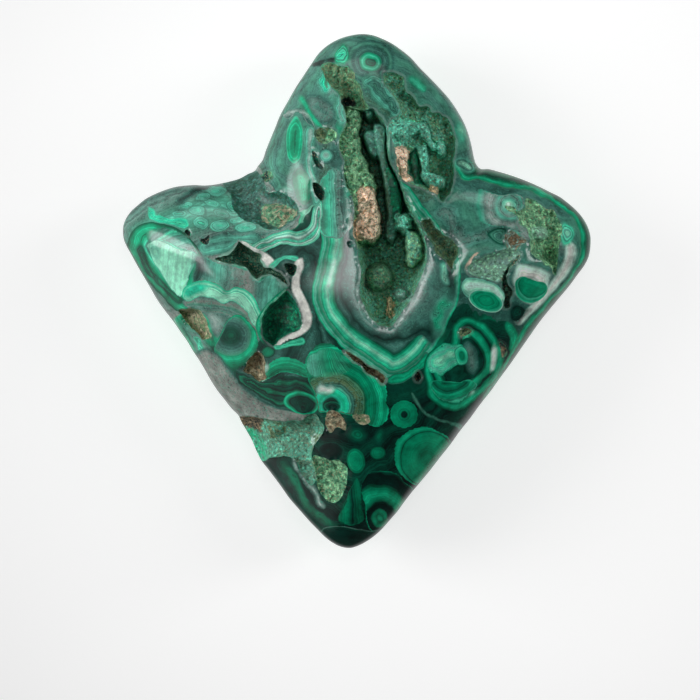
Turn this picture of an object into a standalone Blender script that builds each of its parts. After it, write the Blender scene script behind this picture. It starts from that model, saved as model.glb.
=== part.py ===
"""A polished malachite freeform, one stone: four rounded lobes on a flat ground base, a domed crown,
and open vugs in the crown with knobby crusts standing in them. Metres, +Z up, the base at z = 0."""

import math

import bpy
import numpy as np
from mathutils import Vector, geometry

# Driving dimensions
MM = 0.001
LENGTH = 116 * MM  # along Y, top lobe to lower tip
HEIGHT = 38 * MM  # base to the highest point of the crown
GIRDLE = 14 * MM  # height of the widest outline
BELLY = 1.22  # the underside curves as if to end this many GIRDLEs below the girdle, and is cut flat at z = 0

# The stone's plan is drawn on a sheet of small squares, x to the right and y down
PLAN_LENGTH = 514.0
PLAN_MIDDLE = np.array((356.5, 291.0))
SQUARE = LENGTH / PLAN_LENGTH
CROWN_SQUARE = 0.986 * SQUARE  # the crown is nearer to the eye than the girdle, so its squares are smaller
EYE = np.array((350.0, 350.0))  # the plan point straight below the eye

# The crown's dome
FALL = 0.24  # share of the crown's rise that is lost at the far end of a lobe
FALL_REACH = 60 * MM
HIGHEST_SWELL = 1.2 * MM
UNDER_ROUNDNESS = 3.2  # exponent of the underside's cross-section: 2 is an ellipse, higher is squarer
UNDER_SOFTENING = 9  # points of the rim on each side that the base's outline is averaged over
LEAST_CROWN = 0.22  # share of the crown's rise that every hollow leaves standing

# How finely the mesh follows the shape
RIM_STEPS = 3  # points of the rim for each drawn one
RIM_SHARES = (1.0, 0.996, 0.982, 0.955, 0.92)  # rings of the crown, as shares of the rim's radius
UNDER_RINGS = 6
VUG_SHARES = (0.0, 0.10, 0.30, 0.65)  # rings of a vug, drawn in from its outline to its spine
CRUST_SHARES = (0.0, 0.22, 0.60)
HOLLOW_STEPS = 2
SCATTER = 3.1 * MM  # spacing of the crown's points away from any drawn line
LEAST_EDGE = 3.0  # in plan squares
LEAST_LOOP = 4
WELD = 0.12 * MM

OUTLINE = (
    (362, 34), (382, 38.6), (400, 49), (420, 68), (440, 88.5), (458, 112), (469, 136), (474, 158), (480, 168.5),
    (490, 169.5), (510, 175), (530, 182.5), (550, 192), (568, 203), (583.5, 219), (590.5, 237), (588.5, 257),
    (578, 274), (560, 297), (540, 321.5), (520, 350), (500, 378), (480.5, 404), (460, 431), (440, 457.5),
    (420.5, 482), (405, 501), (390, 520), (375, 535.5), (360, 545), (350, 548), (340, 546.4), (325, 537),
    (310, 521.8), (290, 499), (269.5, 471), (256, 449.7), (246.5, 430.5), (238.6, 415.7), (232, 409),
    (217, 390), (199, 360), (180, 331), (158, 301), (137, 265), (124, 240), (123.5, 225), (131, 211.4),
    (145, 199.3), (165, 190), (186, 185.5), (213, 184.8), (240, 178.4), (255, 170.6), (262, 161), (270.4, 139),
    (280, 115.5), (296, 87), (311, 64.4), (330.5, 43.4), (350, 35.6),
)

# Roundness of the flanks, by compass angle in degrees from +X towards +Y
FLANKS = ((-180, 4.2), (-150, 3.6), (-110, 3.8), (-80, 6.0), (-40, 8.5), (0, 6.5), (50, 5.5), (95, 4.6), (150, 3.8))

# Swells and saddles of the crown: plan point, height in mm, reach in mm
SWELLS = (
    ("left shoulder", (215, 285), 1.4, 13.0),
    ("right shoulder", (545, 262), 1.4, 10.0),
    ("crown ridge", (360, 345), 1.2, 16.0),
    ("saddle by the left notch", (250, 200), -2.4, 8.0),
    ("saddle by the right notch", (472, 180), -1.2, 7.0),
    ("lower slope", (300, 470), -2.2, 12.0),
    ("lower tip", (360, 500), -1.6, 12.0),
)

# A vug: its outline, its spine of plan points with the depth in mm below the crown, and how steep its walls are
VUGS = {
    "central trough": (
        ((320, 62), (335, 64), (345, 66), (352, 70), (358, 78), (363, 92), (371, 107), (378, 115), (386, 124),
         (388, 140), (388, 156), (396, 172), (402, 186), (409, 200), (405, 210), (414, 216), (420, 226), (425, 238),
         (425, 254), (421, 275), (416, 287), (405, 308), (398, 318), (392, 326), (384, 327), (372, 319), (362, 303),
         (359, 290), (360, 275), (357, 250), (352, 228), (357, 210), (352, 195), (345, 180), (347, 165), (343, 135),
         (345, 118), (343, 103), (336, 90), (328, 78)),
        ((334, 72, 2.2), (350, 96, 6.0), (359, 118, 11.0), (372, 140, 13.0), (376, 170, 14.0), (384, 200, 15.0),
         (386, 230, 15.0), (388, 254, 13.5), (386, 280, 9.0), (384, 306, 5.0)), 5.0),
    "upper vug": (
        ((383, 74), (392, 73), (402, 76), (404, 84), (409, 92), (418, 102), (428, 106), (440, 113), (449, 120),
         (454, 136), (456, 150), (453, 160), (454, 178), (449, 194), (443, 202), (436, 194), (424, 189), (410, 184),
         (400, 176), (396, 160), (397, 147), (402, 134), (404, 120), (398, 104), (390, 92), (384, 84)),
        ((392, 82, 2.6), (412, 104, 3.4), (436, 122, 5.0), (450, 138, 7.0), (443, 166, 6.0), (446, 186, 7.0)), 4.0),
    "side vug": (
        ((421, 220), (429, 219), (436, 229), (447, 236), (457, 245), (460, 253), (455, 259), (452, 270), (446, 261),
         (438, 256), (433, 246), (426, 234)),
        ((430, 228, 2.6), (452, 251, 4.0)), 4.0),
    "right vug": (
        ((525, 199), (532, 199), (544, 207), (555, 211), (561, 223), (563, 233), (560, 248), (556, 272), (550, 267),
         (540, 262), (533, 256), (528, 242), (526, 230), (519, 224), (518, 214), (506, 210), (511, 207), (520, 211)),
        ((529, 211, 2.4), (545, 230, 4.6), (549, 254, 5.2)), 4.0),
    "right bud": (
        ((507, 233), (513, 231), (520, 237), (527, 243), (518, 250), (508, 250), (505, 243)),
        ((514, 242, 1.8),), 2.0),
    "right basin": (
        ((469, 273), (471, 262), (482, 257), (497, 251), (515, 250), (521, 256), (511, 267), (507, 275), (508, 285),
         (513, 292), (509, 308), (504, 308), (503, 290), (497, 283), (485, 279), (476, 277)),
        ((478, 268, 2.0), (500, 262, 2.6), (506, 288, 3.0)), 2.0),
    "left crack": (
        ((239, 241), (246, 247), (262, 256), (261, 265), (272, 268), (281, 275), (288, 285), (276, 277), (265, 273),
         (257, 280), (249, 272), (237, 265), (216, 259), (222, 256), (230, 253)),
        ((226, 257, 2.6), (243, 256, 5.5), (258, 268, 5.5), (276, 275, 3.0)), 4.0),
    "oval vug": (
        ((287, 291), (294, 299), (300, 311), (302, 325), (291, 334), (282, 338), (272, 346), (265, 340), (261, 328),
         (262, 315), (270, 304), (279, 297)),
        ((284, 306, 4.6), (272, 328, 6.4)), 3.0),
    "edge vug": (
        ((181, 310), (190, 308), (202, 311), (208, 322), (212, 336), (205, 339), (195, 330), (186, 322)),
        ((193, 315, 4.5), (203, 329, 3.5)), 4.0),
    "lower pit": (
        ((259, 353), (265, 359), (268, 366), (263, 381), (254, 377), (244, 370), (247, 362), (252, 356)),
        ((256, 367, 3.4),), 3.0),
    "crown crack": (
        ((344, 351), (352, 354), (364, 363), (378, 371), (386, 379), (378, 380), (366, 373), (354, 362)),
        ((353, 359, 1.6), (366, 369, 3.4), (379, 376, 2.4)), 3.0),
    "bank pit": (
        ((316, 131), (321, 127), (331, 129), (338, 135), (331, 142), (319, 143)),
        ((326, 135, 2.6),), 3.0),
    "slot": (
        ((313, 182), (319, 184), (325, 193), (322, 201), (316, 196)),
        ((317, 187, 2.2), (320, 195, 2.6)), 3.0),
    "corner pit": (
        ((284, 264), (296, 265), (292, 277), (287, 272)),
        ((290, 269, 3.0),), 3.0),
    "saddle recess": (
        ((196, 194), (224, 188), (248, 181), (264, 173), (279, 178), (291, 191), (300, 206), (292, 223),
         (268, 231), (246, 222), (228, 209), (208, 202)),
        ((214, 195, 1.0), (248, 198, 2.6), (276, 209, 4.0)), 2.0),
    "ledge recess": (
        ((226, 416), (239, 416), (252, 418), (270, 420), (288, 422), (303, 420), (318, 416), (331, 424), (341, 438),
         (346, 460), (346, 482), (334, 503), (312, 508), (286, 504), (258, 476), (234, 444)),
        ((236, 424, 6.0), (262, 430, 6.5), (288, 436, 5.5), (312, 436, 4.4), (326, 456, 3.0), (330, 478, 1.6)), 2.6),
}

# A crust stands in a vug: its outline, its spine with the depth of its top in mm, and the depth of its foot in mm
CRUSTS = {
    "ochre ridge": (
        ((336, 116), (341, 108), (352, 107), (361, 112), (363, 130), (366, 150), (371, 170), (378, 186), (382, 204),
         (383, 222), (379, 240), (369, 245), (357, 246), (350, 226), (346, 200), (340, 176), (336, 156), (333, 136)),
        ((353, 114, 1.8), (353, 146, 1.3), (360, 178, 1.2), (368, 206, 1.2), (369, 232, 2.8)), 14.0),
    "green tongue": (
        ((377, 120), (385, 126), (387, 140), (387, 157), (395, 172), (402, 188), (404, 204), (399, 226), (393, 244),
         (387, 240), (387, 212), (382, 190), (378, 168), (375, 144)),
        ((381, 130, 1.8), (383, 156, 2.2), (391, 186, 3.0), (393, 214, 5.0), (391, 234, 8.0)), 15.0),
    "trough bead": (
        ((363, 110), (369, 106), (375, 109), (376, 116), (370, 121), (364, 117)),
        ((369, 113, 2.6),), 12.0),
    "trough knob": (
        ((364, 129), (370, 126), (376, 132), (379, 144), (377, 156), (371, 159), (366, 149)),
        ((370, 136, 2.6), (373, 150, 3.6)), 13.0),
    "floor ball": (
        ((377, 262), (389, 266), (394, 278), (389, 291), (377, 296), (366, 291), (361, 279), (366, 267)),
        ((377, 279, 4.4),), 14.0),
    "mint shelf": (
        ((408, 224), (414, 230), (424, 236), (425, 250), (421, 266), (414, 272), (407, 262), (405, 244)),
        ((411, 232, 3.4), (416, 246, 1.4), (414, 260, 2.4)), 14.0),
    "shelf knobs": (
        ((398, 213), (407, 212), (414, 220), (413, 230), (404, 236), (398, 228)),
        ((405, 222, 3.6),), 14.0),
    "floor knob": (
        ((399, 287), (408, 287), (412, 294), (407, 301), (399, 300), (396, 293)),
        ((404, 294, 2.6),), 12.0),
    "turquoise crust": (
        ((389, 124), (398, 118), (412, 120), (428, 122), (431, 132), (429, 144), (414, 146), (398, 145), (389, 138)),
        ((398, 130, 1.4), (421, 133, 1.0)), 8.0),
    "turquoise rib": (
        ((419, 146), (427, 146), (431, 162), (445, 176), (444, 189), (430, 188), (422, 172)),
        ((424, 154, 2.0), (428, 172, 1.6), (438, 183, 1.4)), 8.0),
    "turquoise bud": (
        ((434, 139), (442, 138), (446, 147), (443, 156), (435, 155)),
        ((439, 147, 1.6),), 8.0),
    "pink rib": (
        ((398, 146), (406, 146), (409, 160), (410, 176), (403, 180), (398, 166)),
        ((403, 154, 1.2), (405, 172, 1.4)), 8.0),
}
CRUST_STEEPNESS = 4.0

# Colour of the whole solid
MALACHITE_GREEN = (0.010, 0.165, 0.088, 1.0)
POLISH_ROUGHNESS = 0.18


def smooth_loop(drawn, steps):
    """A closed smooth curve through the drawn points, with the given number of points for each span.
    The tangent at a point weighs its two chords by their lengths, so uneven spacing makes no loops."""
    drawn = np.array(drawn, float)
    following = np.roll(drawn, -1, axis=0)
    chords = np.linalg.norm(following - drawn, axis=1)[:, None]
    slopes = (following - drawn) / chords
    earlier = np.roll(chords, 1, axis=0)
    tangents = (slopes * earlier + np.roll(slopes, 1, axis=0) * chords) / (earlier + chords)
    spans = []
    for share in np.arange(steps) / steps:
        square, cube = share**2, share**3
        start = (2 * cube - 3 * square + 1) * drawn + (cube - 2 * square + share) * chords * tangents
        end = (3 * square - 2 * cube) * following + (cube - square) * chords * np.roll(tangents, -1, axis=0)
        spans.append(start + end)
    return np.stack(spans, axis=1).reshape(-1, 2)


def from_plan(points, square):
    """Plan points to metres, for a level of the stone that is seen with squares of the given size."""
    eye = (EYE - PLAN_MIDDLE) * SQUARE
    return ((np.asarray(points, float) - EYE) * square + eye) * (1.0, -1.0)


def to_plan(places, square):
    """The inverse of from_plan."""
    eye = (EYE - PLAN_MIDDLE) * SQUARE
    return (np.asarray(places, float) * (1.0, -1.0) - eye) / square + EYE


def nearest_on(points, starts, ends):
    """For each point, the distance to the nearest of the segments, that segment's number and the share along it."""
    best = np.full(len(points), np.inf)
    number = np.zeros(len(points), int)
    along = np.zeros(len(points))
    for i, (start, end) in enumerate(zip(starts, ends)):
        run = end - start
        share = np.clip((points - start) @ run / max(run @ run, 1e-12), 0.0, 1.0)
        distance = np.linalg.norm(points - start - share[:, None] * run, axis=1)
        closer = distance < best
        best[closer] = distance[closer]
        number[closer] = i
        along[closer] = share[closer]
    return best, number, along


def inside(points, loop):
    """Which points are inside the closed loop, by counting the loop's crossings to their right."""
    odd = np.zeros(len(points), bool)
    for a, b in zip(loop, np.roll(loop, -1, axis=0)):
        if a[1] == b[1]:
            continue
        spans = (points[:, 1] < a[1]) != (points[:, 1] < b[1])
        crossing = a[0] + (points[:, 1] - a[1]) * (b[0] - a[0]) / (b[1] - a[1])
        odd ^= spans & (points[:, 0] < crossing)
    return odd


class Patch:
    """An area of the crown with an outline, and a spine along which it is deepest or highest."""

    def __init__(self, outline, spine, steepness):
        self.loop = smooth_loop(outline, HOLLOW_STEPS)
        knots = np.array(spine, float)
        if len(knots) == 1:
            knots = np.repeat(knots, 2, axis=0)
        self.spine = knots[:, :2]
        self.depths = knots[:, 2]
        self.steepness = steepness

    def to_spine(self, points):
        """The nearest point of the spine to each point, and the depth in mm there."""
        _, run, along = nearest_on(points, self.spine[:-1], self.spine[1:])
        share = along[:, None]
        places = self.spine[run] * (1 - share) + self.spine[run + 1] * share
        return places, self.depths[run] * (1 - along) + self.depths[run + 1] * along

    def profile(self, points):
        """0 on the outline and outside it, rising to 1 on the spine."""
        within = inside(points, self.loop)
        chosen = points[within]
        edge, _, _ = nearest_on(chosen, self.loop, np.roll(self.loop, -1, axis=0))
        places, _ = self.to_spine(chosen)
        share = edge / (edge + np.linalg.norm(chosen - places, axis=1) + 1e-9)
        profile = np.zeros(len(points))
        profile[within] = 1 - (1 - share) ** self.steepness
        return within, profile

    def rings(self, shares):
        """The outline drawn in towards the spine, once for each share of the way."""
        places, _ = self.to_spine(self.loop)
        return [self.loop + (places - self.loop) * share for share in shares]


class Pebble:
    """The polished skin: one radius for each compass angle, a domed crown and a rounded underside."""

    def __init__(self):
        self.rim = from_plan(smooth_loop(OUTLINE, RIM_STEPS), SQUARE)
        angles = np.arctan2(self.rim[:, 1], self.rim[:, 0])
        order = np.argsort(angles)
        self.angles = angles[order]
        self.radii = np.hypot(self.rim[:, 0], self.rim[:, 1])[order]

    def rim_radius(self, angle):
        return np.interp(angle, self.angles, self.radii, period=2 * math.pi)

    def roundness(self, angle):
        compass = np.radians([flank[0] for flank in FLANKS])
        exponents = [flank[1] for flank in FLANKS]
        return np.interp(angle, compass, exponents, period=2 * math.pi)

    def rise(self, x, y):
        """Height of the crown above the girdle, before it rounds off to the rim."""
        lost = FALL * np.minimum((x**2 + y**2) / FALL_REACH**2, 1.0)
        height = (HEIGHT - GIRDLE - HIGHEST_SWELL) * (1 - lost)
        for _, place, swell, reach in SWELLS:
            at = from_plan(place, CROWN_SQUARE)
            distance = (x - at[0]) ** 2 + (y - at[1]) ** 2
            height = height + swell * MM * np.exp(-distance / (2 * (reach * MM) ** 2))
        return height

    def crown(self, x, y):
        """Height of the polished crown over a place."""
        angle = np.arctan2(y, x)
        share = np.minimum(np.hypot(x, y) / self.rim_radius(angle), 1.0)
        return GIRDLE + self.rise(x, y) * np.sqrt(1 - share ** self.roundness(angle))

    def underside(self):
        """Rings from just below the girdle down to the flat base."""
        shifts = range(-UNDER_SOFTENING, UNDER_SOFTENING + 1)
        softer = np.mean([np.roll(self.rim, shift, axis=0) for shift in shifts], axis=0)
        lowest = math.asin(1 / BELLY)
        rings = []
        for bend in np.linspace(0.0, lowest, UNDER_RINGS + 1)[1:]:
            spread = math.cos(bend) ** (2 / UNDER_ROUNDNESS)
            outline = self.rim + (softer - self.rim) * bend / lowest
            z = np.full(len(outline), GIRDLE * (1 - BELLY * math.sin(bend)))
            rings.append(np.column_stack([outline * spread, z]))
        return rings


class Stone:
    """The whole stone: the pebble, its vugs and the crusts that stand in them."""

    def __init__(self):
        self.pebble = Pebble()
        self.vugs = [Patch(outline, spine, steepness) for outline, spine, steepness in VUGS.values()]
        self.crusts = [(Patch(outline, spine, CRUST_STEEPNESS), foot) for outline, spine, foot in CRUSTS.values()]

    def surface(self, plan):
        """Height in metres at points of the plan."""
        sunk = np.zeros(len(plan))
        for vug in self.vugs:
            _, profile = vug.profile(plan)
            _, depth = vug.to_spine(plan)
            sunk = np.maximum(sunk, depth * profile)
        for crust, foot in self.crusts:
            within, profile = crust.profile(plan)
            _, top = crust.to_spine(plan)
            sunk = np.where(within, np.minimum(sunk, foot + (top - foot) * profile), sunk)
        places = from_plan(plan, CROWN_SQUARE)
        crown = self.pebble.crown(places[:, 0], places[:, 1])
        return np.maximum(crown - sunk * MM, GIRDLE + LEAST_CROWN * (crown - GIRDLE))

    def drawn_loops(self):
        """The closed loops of the vugs and crusts that the crown's mesh follows, in plan squares."""
        loops = []
        for vug in self.vugs:
            loops += vug.rings(VUG_SHARES)
        for crust, _ in self.crusts:
            loops += crust.rings(CRUST_SHARES)
        return loops


def spaced(loop):
    """The loop without points that crowd the one before them."""
    kept = [loop[0]]
    for point in loop[1:]:
        if min(math.dist(point, kept[-1]), math.dist(point, kept[0])) > LEAST_EDGE:
            kept.append(point)
    return np.array(kept)


def scattered(within, kept):
    """Points of a triangular grid inside a loop, well away from the points that are kept."""
    step = SCATTER / CROWN_SQUARE
    low, high = within.min(axis=0), within.max(axis=0)
    points = []
    for row, y in enumerate(np.arange(low[1], high[1], step * math.sqrt(3) / 2)):
        points += [(x + row % 2 * step / 2, y) for x in np.arange(low[0], high[0], step)]
    points = np.array(points)
    points = points[inside(points, within)]
    nearest = np.array([np.hypot(*(kept - point).T).min() for point in points])
    return points[nearest > 0.62 * step]


def crown_mesh(stone):
    """Plan points and triangles of the crown, and the numbers of its outer edge's points in order."""
    rim = to_plan(stone.pebble.rim, CROWN_SQUARE)
    hub = to_plan((0.0, 0.0), CROWN_SQUARE)
    loops = [hub + (rim - hub) * share for share in RIM_SHARES]
    innermost = loops[-1]
    for loop in stone.drawn_loops():
        loop = spaced(loop)
        loop = loop[inside(loop, innermost)]
        if len(loop) >= LEAST_LOOP:
            loops.append(loop)
    points = np.concatenate(loops)
    points = np.concatenate([points, scattered(innermost, points)])
    edges = []
    first = 0
    for loop in loops:
        numbers = range(first, first + len(loop))
        edges += [(number, first + (number + 1 - first) % len(loop)) for number in numbers]
        first += len(loop)
    found = geometry.delaunay_2d_cdt([Vector(point) for point in points], edges, [], 1, 1e-3)
    plan, triangles, sources = found[0], found[2], found[3]
    number_of = {source: number for number, merged in enumerate(sources) for source in merged}
    edge = [number_of[source] for source in range(len(rim))]
    return np.array([tuple(point) for point in plan]), triangles, edge


def stone_body(stone):
    """The closed solid: the crown's mesh, the underside's rings from its outer edge, and one flat base face."""
    plan, triangles, edge = crown_mesh(stone)
    z = stone.surface(plan)
    z[edge] = GIRDLE
    vertices = [tuple(vertex) for vertex in np.column_stack([from_plan(plan, CROWN_SQUARE), z])]
    faces = [tuple(triangle) for triangle in triangles]
    above = edge
    for ring in stone.pebble.underside():
        below = list(range(len(vertices), len(vertices) + len(ring)))
        vertices += [tuple(vertex) for vertex in ring]
        for i in range(len(ring)):
            faces.append((above[i - 1], above[i], below[i], below[i - 1]))
        above = below
    faces.append(tuple(above))
    mesh = bpy.data.meshes.new("malachite")
    mesh.from_pydata(vertices, [], faces)
    body = bpy.data.objects.new("malachite", mesh)
    bpy.context.scene.collection.objects.link(body)
    bpy.context.view_layer.objects.active = body
    body.select_set(True)
    bpy.ops.object.mode_set(mode="EDIT")
    bpy.ops.mesh.select_all(action="SELECT")
    bpy.ops.mesh.remove_doubles(threshold=WELD)
    bpy.ops.mesh.quads_convert_to_tris(quad_method="BEAUTY", ngon_method="BEAUTY")
    bpy.ops.mesh.normals_make_consistent(inside=False)
    bpy.ops.object.mode_set(mode="OBJECT")
    return body


def stone_material():
    made = bpy.data.materials.new("polished malachite")
    made.use_nodes = True
    shader = made.node_tree.nodes["Principled BSDF"]
    shader.inputs["Base Color"].default_value = MALACHITE_GREEN
    shader.inputs["Roughness"].default_value = POLISH_ROUGHNESS
    shader.inputs["Metallic"].default_value = 0.0
    return made


def main():
    for old in list(bpy.data.objects):
        bpy.data.objects.remove(old)
    body = stone_body(Stone())
    body.data.materials.append(stone_material())
    body.data.shade_smooth()
    body.data.set_sharp_from_angle(angle=math.radians(40))


main()
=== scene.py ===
"""The looks of a polished malachite freeform: one banded stone with crusted vugs, on a pale studio table.

The stone's shapes and its bands are drawn on a plan sheet of small squares, x to the right and y down,
as they are seen from an eye straight above the stone. Depths and heights are in millimetres.
"""
import logging
import math
from dataclasses import dataclass
from enum import Enum

import bpy
import numpy as np
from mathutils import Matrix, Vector, geometry, kdtree


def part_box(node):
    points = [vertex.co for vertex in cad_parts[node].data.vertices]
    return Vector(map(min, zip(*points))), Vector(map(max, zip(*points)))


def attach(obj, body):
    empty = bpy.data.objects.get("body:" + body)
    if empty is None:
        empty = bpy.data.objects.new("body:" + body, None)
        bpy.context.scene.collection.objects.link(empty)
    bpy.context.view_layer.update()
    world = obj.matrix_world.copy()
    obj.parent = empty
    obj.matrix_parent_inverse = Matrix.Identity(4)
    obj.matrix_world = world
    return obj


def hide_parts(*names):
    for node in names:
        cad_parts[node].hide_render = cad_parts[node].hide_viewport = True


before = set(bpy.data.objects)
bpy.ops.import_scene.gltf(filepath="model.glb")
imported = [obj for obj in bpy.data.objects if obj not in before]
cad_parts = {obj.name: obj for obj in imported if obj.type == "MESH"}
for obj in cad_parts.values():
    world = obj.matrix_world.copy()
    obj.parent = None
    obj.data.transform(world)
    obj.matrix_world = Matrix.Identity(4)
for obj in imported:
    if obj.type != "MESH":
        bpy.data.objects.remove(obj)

log = logging.getLogger("malachite")

MM = 0.001
NODE = "malachite"
HEIGHT = 38 * MM  # base to the highest point of the crown
GIRDLE = 14 * MM  # height of the widest outline
PLAN_LENGTH = 514.0  # squares from the top lobe to the lower tip

LATTICE = 256  # cells of a noise lattice each way, before it repeats
LATTICE_START = 100.0  # keeps the numbers of the lattice's cells above zero
DRAWN_STEPS = 8  # points of a smooth outline for each drawn one
GROWTH_STEPS = 5  # the same for a growth's outline
SPINE_STEPS = 4  # the same for its spine
NUDGE = 0.01  # squares from a lone point to its copy, so that every spine has a length
INSIDE_LOOPS = 1  # the kind of triangulation that fills the drawn loops and nothing outside them

# Strength and reach of each wave, in squares, and the first one's seed across and down
SWAYS, SWAY_SEEDS = ((1.6, 23.0), (0.9, 9.0), (0.45, 4.0)), (31, 41)
RAGGED_WAVES, RAGGED_SEEDS = ((0.9, 6.0), (0.5, 2.7)), (11, 21)

Drawn = tuple[tuple[float, ...], ...]
Pair = tuple[float, float]
Rgba = tuple[float, float, float, float]


def smooth_path(drawn: Drawn, steps: int, closed: bool = True) -> np.ndarray:
    """A smooth curve through drawn points, whose tangents weigh the two chords by their lengths.

    Args:
        drawn: the points; the first two numbers of each are its place.
        steps: points of the curve for each span between two drawn points.
        closed: whether the curve joins its last point to its first.

    Returns:
        The curve's points, one row each.
    """
    points = np.array(drawn, float)
    following = np.roll(points, -1, axis=0)
    chords = np.maximum(np.linalg.norm((following - points)[:, :2], axis=1), 1e-9)[:, None]
    slopes = (following - points) / chords
    earlier = np.roll(chords, 1, axis=0)
    tangents = (slopes * earlier + np.roll(slopes, 1, axis=0) * chords) / (earlier + chords)
    if not closed:
        tangents[0], tangents[-1] = slopes[0], slopes[-2]
    spans = []
    for share in np.arange(steps) / steps:
        square, cube = share**2, share**3
        start = (2 * cube - 3 * square + 1) * points + (cube - 2 * square + share) * chords * tangents
        end = (3 * square - 2 * cube) * following + (cube - square) * chords * np.roll(tangents, -1, axis=0)
        spans.append(start + end)
    curve = np.stack(spans, axis=1).reshape(-1, points.shape[1])
    return curve if closed else np.vstack([curve[: (len(points) - 1) * steps], points[-1:]])


def nearest_on(points: np.ndarray, path: np.ndarray, closed: bool) -> tuple[np.ndarray, np.ndarray]:
    """The nearest place on a path to each point.

    Args:
        points: plan points, one row each.
        path: the path's points, whose first two numbers are a place and whose others are carried along.
        closed: whether the path joins its last point to its first.

    Returns:
        The distance to the path, and the path's numbers at the nearest place.
    """
    best = np.full(len(points), np.inf)
    found = np.zeros((len(points), path.shape[1]))
    ends = np.roll(path, -1, axis=0) if closed else path[1:]
    for start, end in zip(path, ends):
        run = (end - start)[:2]
        share = np.clip((points - start[:2]) @ run / max(run @ run, 1e-12), 0.0, 1.0)
        distance = np.hypot(*(points - start[:2] - share[:, None] * run).T)
        closer = distance < best
        best[closer] = distance[closer]
        found[closer] = start + share[closer, None] * (end - start)
    return best, found


def inside(points: np.ndarray, loop: np.ndarray) -> np.ndarray:
    """Which plan points are inside a closed loop, by counting the loop's crossings to their right.

    Args:
        points: plan points, one row each.
        loop: the loop's points.

    Returns:
        One truth value for each point.
    """
    odd = np.zeros(len(points), bool)
    for a, b in zip(loop, np.roll(loop, -1, axis=0)):
        if a[1] == b[1]:
            continue
        spans = (points[:, 1] < a[1]) != (points[:, 1] < b[1])
        crossing = a[0] + (points[:, 1] - a[1]) * (b[0] - a[0]) / (b[1] - a[1])
        odd ^= spans & (points[:, 0] < crossing)
    return odd


def hills(points: np.ndarray, reach: float, seed: int) -> np.ndarray:
    """Smooth noise between -1 and 1, as a lattice of random values blended over each cell.

    Args:
        points: plan points, one row each.
        reach: the lattice's spacing, in squares.
        seed: the seed of the lattice's values.

    Returns:
        The noise at each point.
    """
    lattice = np.random.default_rng(seed).uniform(-1.0, 1.0, (LATTICE, LATTICE))
    scaled = points[:, :2] / reach + LATTICE_START
    cell = np.floor(scaled).astype(int)
    share = scaled - cell
    share = share * share * (3 - 2 * share)
    x, y = cell[:, 0] % (LATTICE - 1), cell[:, 1] % (LATTICE - 1)
    low = lattice[x, y] * (1 - share[:, 0]) + lattice[x + 1, y] * share[:, 0]
    high = lattice[x, y + 1] * (1 - share[:, 0]) + lattice[x + 1, y + 1] * share[:, 0]
    return low * (1 - share[:, 1]) + high * share[:, 1]


def knobs(points: np.ndarray, reach: float, seed: int, smallest: float = 0.55) -> np.ndarray:
    """Round knobs of random sizes, one to a cell: up to 1 on a knob's top, and 0 between them.

    Args:
        points: plan points, one row each.
        reach: a cell's width, in squares.
        seed: the seed of the knobs' places.
        smallest: the smallest knob's size, as a share of the largest's.

    Returns:
        The height at each point, from 0 to 1.
    """
    random = np.random.default_rng(seed)
    jitter = random.uniform(0.0, 1.0, (LATTICE, LATTICE, 2))
    sizes = random.uniform(smallest, 1.0, (LATTICE, LATTICE))
    scaled = points[:, :2] / reach + LATTICE_START
    cell = np.floor(scaled).astype(int)
    height = np.zeros(len(points))
    for dx in (-1, 0, 1):
        for dy in (-1, 0, 1):
            x, y = (cell[:, 0] + dx) % LATTICE, (cell[:, 1] + dy) % LATTICE
            centre = np.column_stack([cell[:, 0] + dx, cell[:, 1] + dy]) + jitter[x, y]
            distance = np.hypot(*(scaled - centre).T) / sizes[x, y]
            height = np.maximum(height, np.sqrt(np.maximum(1 - distance**2, 0.0)) * sizes[x, y])
    return height


def push(points: np.ndarray, waves: tuple[Pair, ...], seeds: tuple[int, int]) -> np.ndarray:
    """How far a sum of waves moves each plan point aside.

    Args:
        points: plan points, one row each.
        waves: the strength and the reach of each wave, in squares.
        seeds: the first wave's seed across and down; each further wave's is one higher.

    Returns:
        The push at each point across and down, in squares.
    """
    return np.column_stack([
        sum(strength * hills(points, reach, seed + number) for number, (strength, reach) in enumerate(waves))
        for seed in seeds
    ])


def linear(red: int, green: int, blue: int) -> Rgba:
    """A screen colour from 0 to 255 as the linear colour that a shader takes, by the sRGB curve.

    Args:
        red: the red value.
        green: the green value.
        blue: the blue value.

    Returns:
        Linear red, green and blue, and full opacity.
    """
    values = [value / 255 for value in (red, green, blue)]
    return (*[v / 12.92 if v <= 0.04045 else ((v + 0.055) / 1.055) ** 2.4 for v in values], 1.0)


class Shade(Enum):
    """The colours of malachite, from its darkest bands to its palest, and those of its crusts.

    WHITE, PALE, MINT and ASH also serve the painted highlights and the painted sheen of some growths.
    """

    NONE = linear(0, 0, 0)
    BLACK = linear(2, 24, 20)
    INK = linear(1, 43, 35)
    DEEP = linear(1, 66, 50)
    RICH = linear(0, 108, 76)
    GREEN = linear(0, 140, 100)
    BRIGHT = linear(14, 174, 128)
    JADE = linear(60, 188, 150)
    AQUA = linear(30, 196, 156)
    MINT = linear(132, 206, 176)
    PALE = linear(178, 220, 204)
    WHITE = linear(214, 216, 208)
    SLATE = linear(44, 92, 82)
    TEAL = linear(62, 114, 102)
    GREY = linear(96, 130, 120)
    ASH = linear(128, 134, 127)
    MIST = linear(148, 170, 162)
    TURQUOISE = linear(84, 172, 148)
    CRUST = linear(66, 134, 112)
    FERN = linear(64, 104, 84)
    MOSS = linear(62, 116, 84)
    LICHEN = linear(112, 160, 120)
    SAGE = linear(104, 148, 124)
    OLIVE = linear(80, 104, 72)
    BROWN = linear(98, 84, 62)
    SAND = linear(132, 126, 102)
    BEIGE = linear(186, 160, 124)
    PINK = linear(214, 184, 160)


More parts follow.
